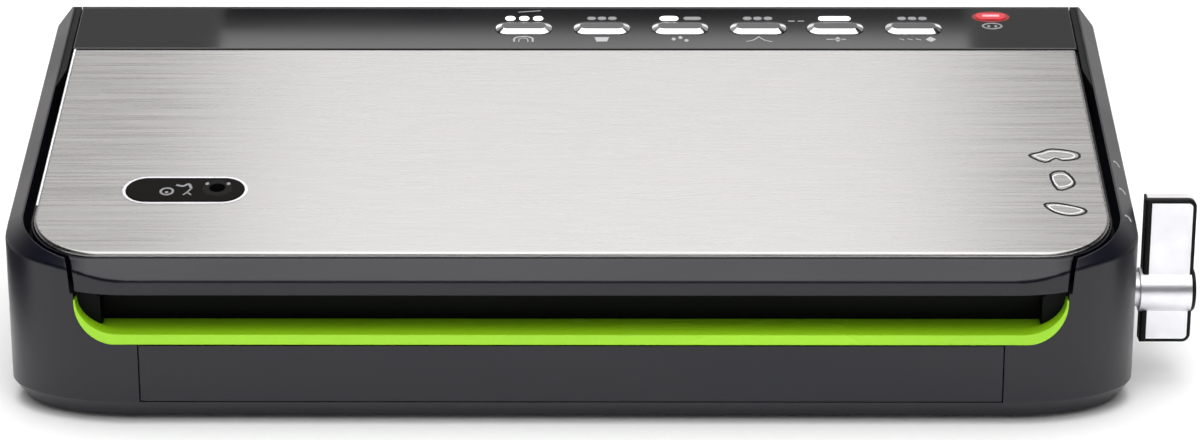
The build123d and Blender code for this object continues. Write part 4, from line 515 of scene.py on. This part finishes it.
def make_port_trim():
    """Polished edge round the dark inset of the port, the hose symbol printed on it, and two painted glints on the
    port's grommet.
    """
    x_span, t_span = span("port_insert", Vector((1, 0, 0))), span("port_insert", UPHILL)
    x, t = middle_of("port_insert")
    length, width = (x_span[1] - x_span[0]) / MM, (t_span[1] - t_span[0]) / MM
    edge = Film("port_rim", 0.0, 0.15 * MM)
    edge.stroke(pill_outline(length + 1.3, width + 1.3, x, t), 1.1, closed=True)
    edge.finish("silver_lever")
    symbol = Film("port_symbol", PILL_LEVEL)
    symbol.ring(x - 6.7, t - 1.6, (4.6, 4.6), 0.9)
    symbol.patch(oval(x - 6.7, t - 2.2, (1.4, 1.4)))
    symbol.stroke(moved([(-3.6, 2.9), (-1, 2.1), (1.1, 3.4), (2.3, 0.4)], x, t), 1.1, smooth=6)
    symbol.stroke(moved([(2.3, 0.4), (0.9, -2.2)], x, t), 0.7)
    symbol.stroke(moved([(-0.4, -4), (1, -2.2), (2.6, -4)], x, t), 0.7)
    symbol.finish("light_dim")
    port = centre("port_grommet")
    port_x, port_t = (port.x - MIDDLE_X) / MM, (UPHILL.dot(port) - PLATE_FRONT) / MM
    # Painted glints: two pale grey ovals on the grommet stand in for its highlights.
    painted_glints = Film("port_painted_glints", span("port_grommet", NORMAL)[1] - PLATE_LEVEL, 0.1 * MM)
    for dx in (-4, 4):
        painted_glints.patch(oval(port_x + dx, port_t + 2.7, (1.5, 1.9)))
    painted_glints.finish("light_dim")


SWOOP = [(-9.3, 0.2), (-5, 2.6), (0, 5), (9, 2.4), (9, -1.8), (3.3, -3.3), (0.5, -1.6), (-3.8, -4.6)]
PEBBLE = [(-4, 4.2), (1.4, 6.4), (4.6, -0.9), (2.6, -4.9), (-2.4, -6.4)]
LEAF = [(-7.2, 3.4), (-2, 4.2), (7.2, 0.4), (6.8, -2.9), (1.4, -4.3), (-4.2, -1.7)]
ICONS = ((182.9, 67.0, SWOOP), (184.3, 49.6, PEBBLE), (183.2, 29.5, LEAF))  # x, t and outline
ICON_HIGHLIGHT_INSET = (0.8, 0.66)  # the painted highlight line inside the dark one, as shares of its width and height


def make_plate_marks():
    """Three outline symbols printed on the steel beside the lever, each with a pale painted highlight line inside
    its dark outline.
    """
    marks = Film("plate_marks", 0.0, 0.04 * MM)
    lights = Film("plate_mark_painted_highlights", 0.0, 0.03 * MM)
    for x, t, outline in ICONS:
        marks.stroke(moved(outline, x, t), 0.95, closed=True, smooth=3)
        inner = [(dx * ICON_HIGHLIGHT_INSET[0], dt * ICON_HIGHLIGHT_INSET[1]) for dx, dt in outline]
        # Painted highlight: a pale line inside each dark outline stands in for light on an embossed edge.
        lights.stroke(moved(inner, x, t), 0.6, closed=True, smooth=3)
    marks.finish("component_black")
    lights.finish("light_lit").data.materials[0] = pale_painted_highlight().material


def make_plate_edge_highlight():
    """A painted highlight: a pale stroke along the left side of the steel, standing in for light on its rounded
    edge.
    """
    half = (MIDDLE_X - span("steel_top_plate", Vector((1, 0, 0)))[0]) / MM
    # Painted highlight along the plate's left edge.
    edge = Film("plate_edge_painted_highlight", 0.0, 0.04 * MM)
    edge.stroke([(0.5 - half, 147.0), (0.5 - half, 32.0)], 0.8)
    edge.finish("light_lit").data.materials[0] = pale_painted_highlight().material


# Pale finish for the painted highlights on the steel.
def pale_painted_highlight():
    return moulded("pale_painted_highlight", (0.75, 0.75, 0.77), 0.5)


FACET_TOP_X = 204.0  # the shoulders' facet starts this far from the middle
FACET_LEAN = radians(51.8)  # how far the facet leans from the plate's normal


def on_facet(distance, t, level=0.0):
    """A point on the right shoulder: distance down the facet, t up the slope, level above the facet."""
    out = Vector((sin(FACET_LEAN), 0, 0)) - NORMAL * cos(FACET_LEAN)
    up = Vector((cos(FACET_LEAN), 0, 0)) + NORMAL * sin(FACET_LEAN)
    return on_slope(FACET_TOP_X * MM, t) + out * distance + up * level


def make_shoulder_marks():
    """Three small pale arcs on the right shoulder, beside the symbols on the plate."""
    marks = Film("shoulder_marks", 0.0, 0.04 * MM, on_facet)
    arc = [(-1.5, 0.8), (-0.4, 1.6), (0.8, 1.1), (1.4, -0.6)]
    for t in (63.8, 44.7, 26.1):
        marks.stroke(moved(arc, 3.2, t), 0.9, smooth=5)
    marks.finish("light_dim", "base").data.materials[0] = grey_print().material


FILLER_CLEARANCE = 0.5
FILLER_WIDTH = 2.7
FILLER_REAR = 182


def make_gap_shade_walls():
    """Walls that close the gap beside the lid's rear part, against the shoulders, in a matt black that paints the
    shade in the gap.
    """
    shade_wall = Film("gap_shade_walls", -5.4 * MM, 4.8 * MM)
    inner = (span("lid_frame", Vector((1, 0, 0)))[1] - MIDDLE_X) / MM + FILLER_CLEARANCE
    outer = inner + FILLER_WIDTH
    for hand in (-1, 1):
        outline = [(inner, 132), (outer, 118), (outer, FILLER_REAR), (inner, FILLER_REAR)]
        shade_wall.patch([(hand * x, t) for x, t in outline])
    # Painted shade: the walls take the matt black finish so the gap reads as shade.
    shade_wall.finish("component_black", "base")


make_strip_marks()
make_lock_symbol()
make_indicator_painted_glow()
make_port_trim()
make_plate_marks()
make_plate_edge_highlight()
make_shoulder_marks()
make_gap_shade_walls()


# ---- Studio --------------------------------------------------------------------------------------------
WORLD_DARK = 0.02
WORLD_HORIZON = 1.15
WORLD_COLOR = (1.0, 0.97, 0.95, 1)
BEHIND_FADE = (-0.1, 0.6)  # the horizon's glow grows over these directions towards the rear
LOW_FADE = (0.62, 0.3)  # and over these heights towards the floor
SOFTBOX_HEIGHT = 2.0
SOFTBOX_Y = (0.9, 2.055)
SOFTBOX_X = (-0.45, 0.41)
SOFTBOX_RADIANCE = 2.0
FRONT_SOFTBOX_Y = (-2.3, 0.9)
FRONT_SOFTBOX_HALF = 0.9
FRONT_SOFTBOX_RADIANCE = 2.8
REAR_SOFTBOX_Y = (2.28, 2.9)
WING_HALF = 1.6
WING_Y = (1.1, 2.45)
WING_RADIANCE = 0.47
WING_COLOR = (1.0, 0.965, 0.94)
FILL_RADIANCE = 1.1
FRONT_FILL_RADIANCE = 1.2
REAR_LIGHT_PLACE = (1.0, 2.2, 1.1)  # the right one's; the left one mirrors it
REAR_LIGHT_AIM = (0.2, 0, 0.08)
REAR_LIGHT_SIZE = (0.9, 1.1)
REAR_LIGHT_RADIANCE = {"left": 1.1, "right": 0.4}
CARD_GAP = 0.09
CARD_HEIGHT = 0.05
FLOOR_REACH = 6.0
HANDS = {"left": -1, "right": 1}


def stage_mesh(name, corners, material):
    mesh = bpy.data.meshes.new(name)
    mesh.from_pydata(corners, [], [range(len(corners))])
    piece = bpy.data.objects.new(name, mesh)
    bpy.context.scene.collection.objects.link(piece)
    mesh.materials.append(material)
    return piece


def make_floor():
    """A plain white floor."""
    finish = Finish("floor_paper", (0.9, 0.9, 0.9), 0.9)
    finish.shader.inputs["Specular IOR Level"].default_value = 0.1
    finish.add_relief(finish.noise(4 * MM), 0.02 * MM)
    signs = ((-1, -1), (1, -1), (1, 1), (-1, 1))
    corners = [(FLOOR_REACH * x, FLOOR_REACH * y, 0) for x, y in signs]
    stage_mesh("floor", corners, finish.material)


def area_light(name, place, aim, size, radiance, color=(1, 1, 1)):
    """A soft rectangular light of a given brightness, radiance in W/m2/sr."""
    data = bpy.data.lights.new(name, "AREA")
    data.shape = "RECTANGLE"
    data.size, data.size_y = size
    data.energy = radiance * pi * size[0] * size[1]
    data.color = color
    light = bpy.data.objects.new(name, data)
    light.location = place
    light.rotation_euler = (Vector(aim) - Vector(place)).to_track_quat("-Z", "Y").to_euler()
    bpy.context.scene.collection.objects.link(light)
    return light


def black_card():
    card = Finish("card_black", (0.0, 0.0, 0.0), 1.0)
    card.shader.inputs["Specular IOR Level"].default_value = 0.0
    return card.material


def make_card(name, x, y_span, z_span, material):
    """A card standing beside the object, seen only in its reflections."""
    (front, rear), (low, high) = y_span, z_span
    corners = [(x, front, low), (x, rear, low), (x, rear, high), (x, front, high)]
    card = stage_mesh(name, corners, material)
    card.visible_camera = False
    card.visible_diffuse = False
    card.visible_shadow = False
    card.visible_transmission = False


def make_world():
    """Dark surroundings with a soft bright horizon behind the object."""
    world = bpy.data.worlds.new("studio")
    bpy.context.scene.world = world
    world.use_nodes = True
    nodes = world.node_tree.nodes
    links = world.node_tree.links
    direction = nodes.new("ShaderNodeTexCoord")
    split = nodes.new("ShaderNodeSeparateXYZ")
    links.new(direction.outputs["Generated"], split.inputs["Vector"])

    def fade(source, start, end):
        ramp = nodes.new("ShaderNodeMapRange")
        ramp.interpolation_type = "SMOOTHSTEP"
        ramp.inputs["From Min"].default_value = start
        ramp.inputs["From Max"].default_value = end
        links.new(source, ramp.inputs["Value"])
        return ramp.outputs["Result"]

    behind = fade(split.outputs["Y"], *BEHIND_FADE)
    low = fade(split.outputs["Z"], *LOW_FADE)
    glow_share = nodes.new("ShaderNodeMath")
    glow_share.operation = "MULTIPLY"
    links.new(behind, glow_share.inputs[0])
    links.new(low, glow_share.inputs[1])
    strength = nodes.new("ShaderNodeMapRange")
    strength.inputs["To Min"].default_value = WORLD_DARK
    strength.inputs["To Max"].default_value = WORLD_HORIZON
    links.new(glow_share.outputs[0], strength.inputs["Value"])
    links.new(strength.outputs["Result"], nodes["Background"].inputs["Strength"])
    nodes["Background"].inputs["Color"].default_value = WORLD_COLOR


def overhead(name, x_span, y_span, radiance, color=(1, 1, 1)):
    """A horizontal soft light at the softbox's height."""
    middle = Vector((sum(x_span) / 2, sum(y_span) / 2, SOFTBOX_HEIGHT))
    size = (x_span[1] - x_span[0], y_span[1] - y_span[0])
    return area_light(name, middle, middle - Vector((0, 0, 1)), size, radiance, color)


def make_studio():
    make_world()
    overhead("softbox", SOFTBOX_X, SOFTBOX_Y, SOFTBOX_RADIANCE)
    overhead("rear_softbox", SOFTBOX_X, REAR_SOFTBOX_Y, SOFTBOX_RADIANCE)
    front_x = (-FRONT_SOFTBOX_HALF, FRONT_SOFTBOX_HALF)
    overhead("front_softbox", front_x, FRONT_SOFTBOX_Y, FRONT_SOFTBOX_RADIANCE)
    overhead("left_wing", (-WING_HALF, SOFTBOX_X[0]), WING_Y, WING_RADIANCE, WING_COLOR)
    overhead("right_wing", (SOFTBOX_X[1], WING_HALF), WING_Y, WING_RADIANCE, WING_COLOR)
    for hand, sign in HANDS.items():
        place, aim = [(sign * x, y, z) for x, y, z in (REAR_LIGHT_PLACE, REAR_LIGHT_AIM)]
        area_light(f"rear_{hand}_light", place, aim, REAR_LIGHT_SIZE, REAR_LIGHT_RADIANCE[hand])
    floor_fill = area_light("floor_fill", (0, -0.3, 2.2), (0, -0.3, 0), (3.0, 3.0), FILL_RADIANCE)
    front_fill = area_light("front_fill", (0, -2.6, 1.3), (0, 0, 0), (3.0, 1.6), FRONT_FILL_RADIANCE)
    for fill in (floor_fill, front_fill):
        fill.visible_glossy = False
        fill.visible_camera = False
    low, high = CAD_BOX
    black = black_card()
    for hand, x in (("left", low[0] - CARD_GAP), ("right", high[0] + CARD_GAP)):
        make_card(f"{hand}_low_card", x, (low[1], high[1] + 0.1), (0.0, CARD_HEIGHT), black)
    bpy.context.scene.view_settings.view_transform = "Standard"


CAMERA_PLACE = Vector((3.7, -1339.3, 520.1)) * MM
CAMERA_PITCH = 19.44  # degrees down
CAMERA_YAW = 0.235  # degrees to the left
CAMERA_ROLL = 0.05
CAMERA_SENSOR = 36  # millimetres wide
CAMERA_LENS = 109.6  # millimetres


def make_camera():
    data = bpy.data.cameras.new("camera")
    data.sensor_width = CAMERA_SENSOR
    data.lens = CAMERA_LENS
    camera = bpy.data.objects.new("camera", data)
    camera.location = CAMERA_PLACE
    turns = (90 - CAMERA_PITCH, CAMERA_ROLL, CAMERA_YAW)
    camera.rotation_euler = Euler([radians(turn) for turn in turns], "XYZ")
    bpy.context.scene.collection.objects.link(camera)
    bpy.context.scene.camera = camera


make_floor()
make_studio()
make_camera()
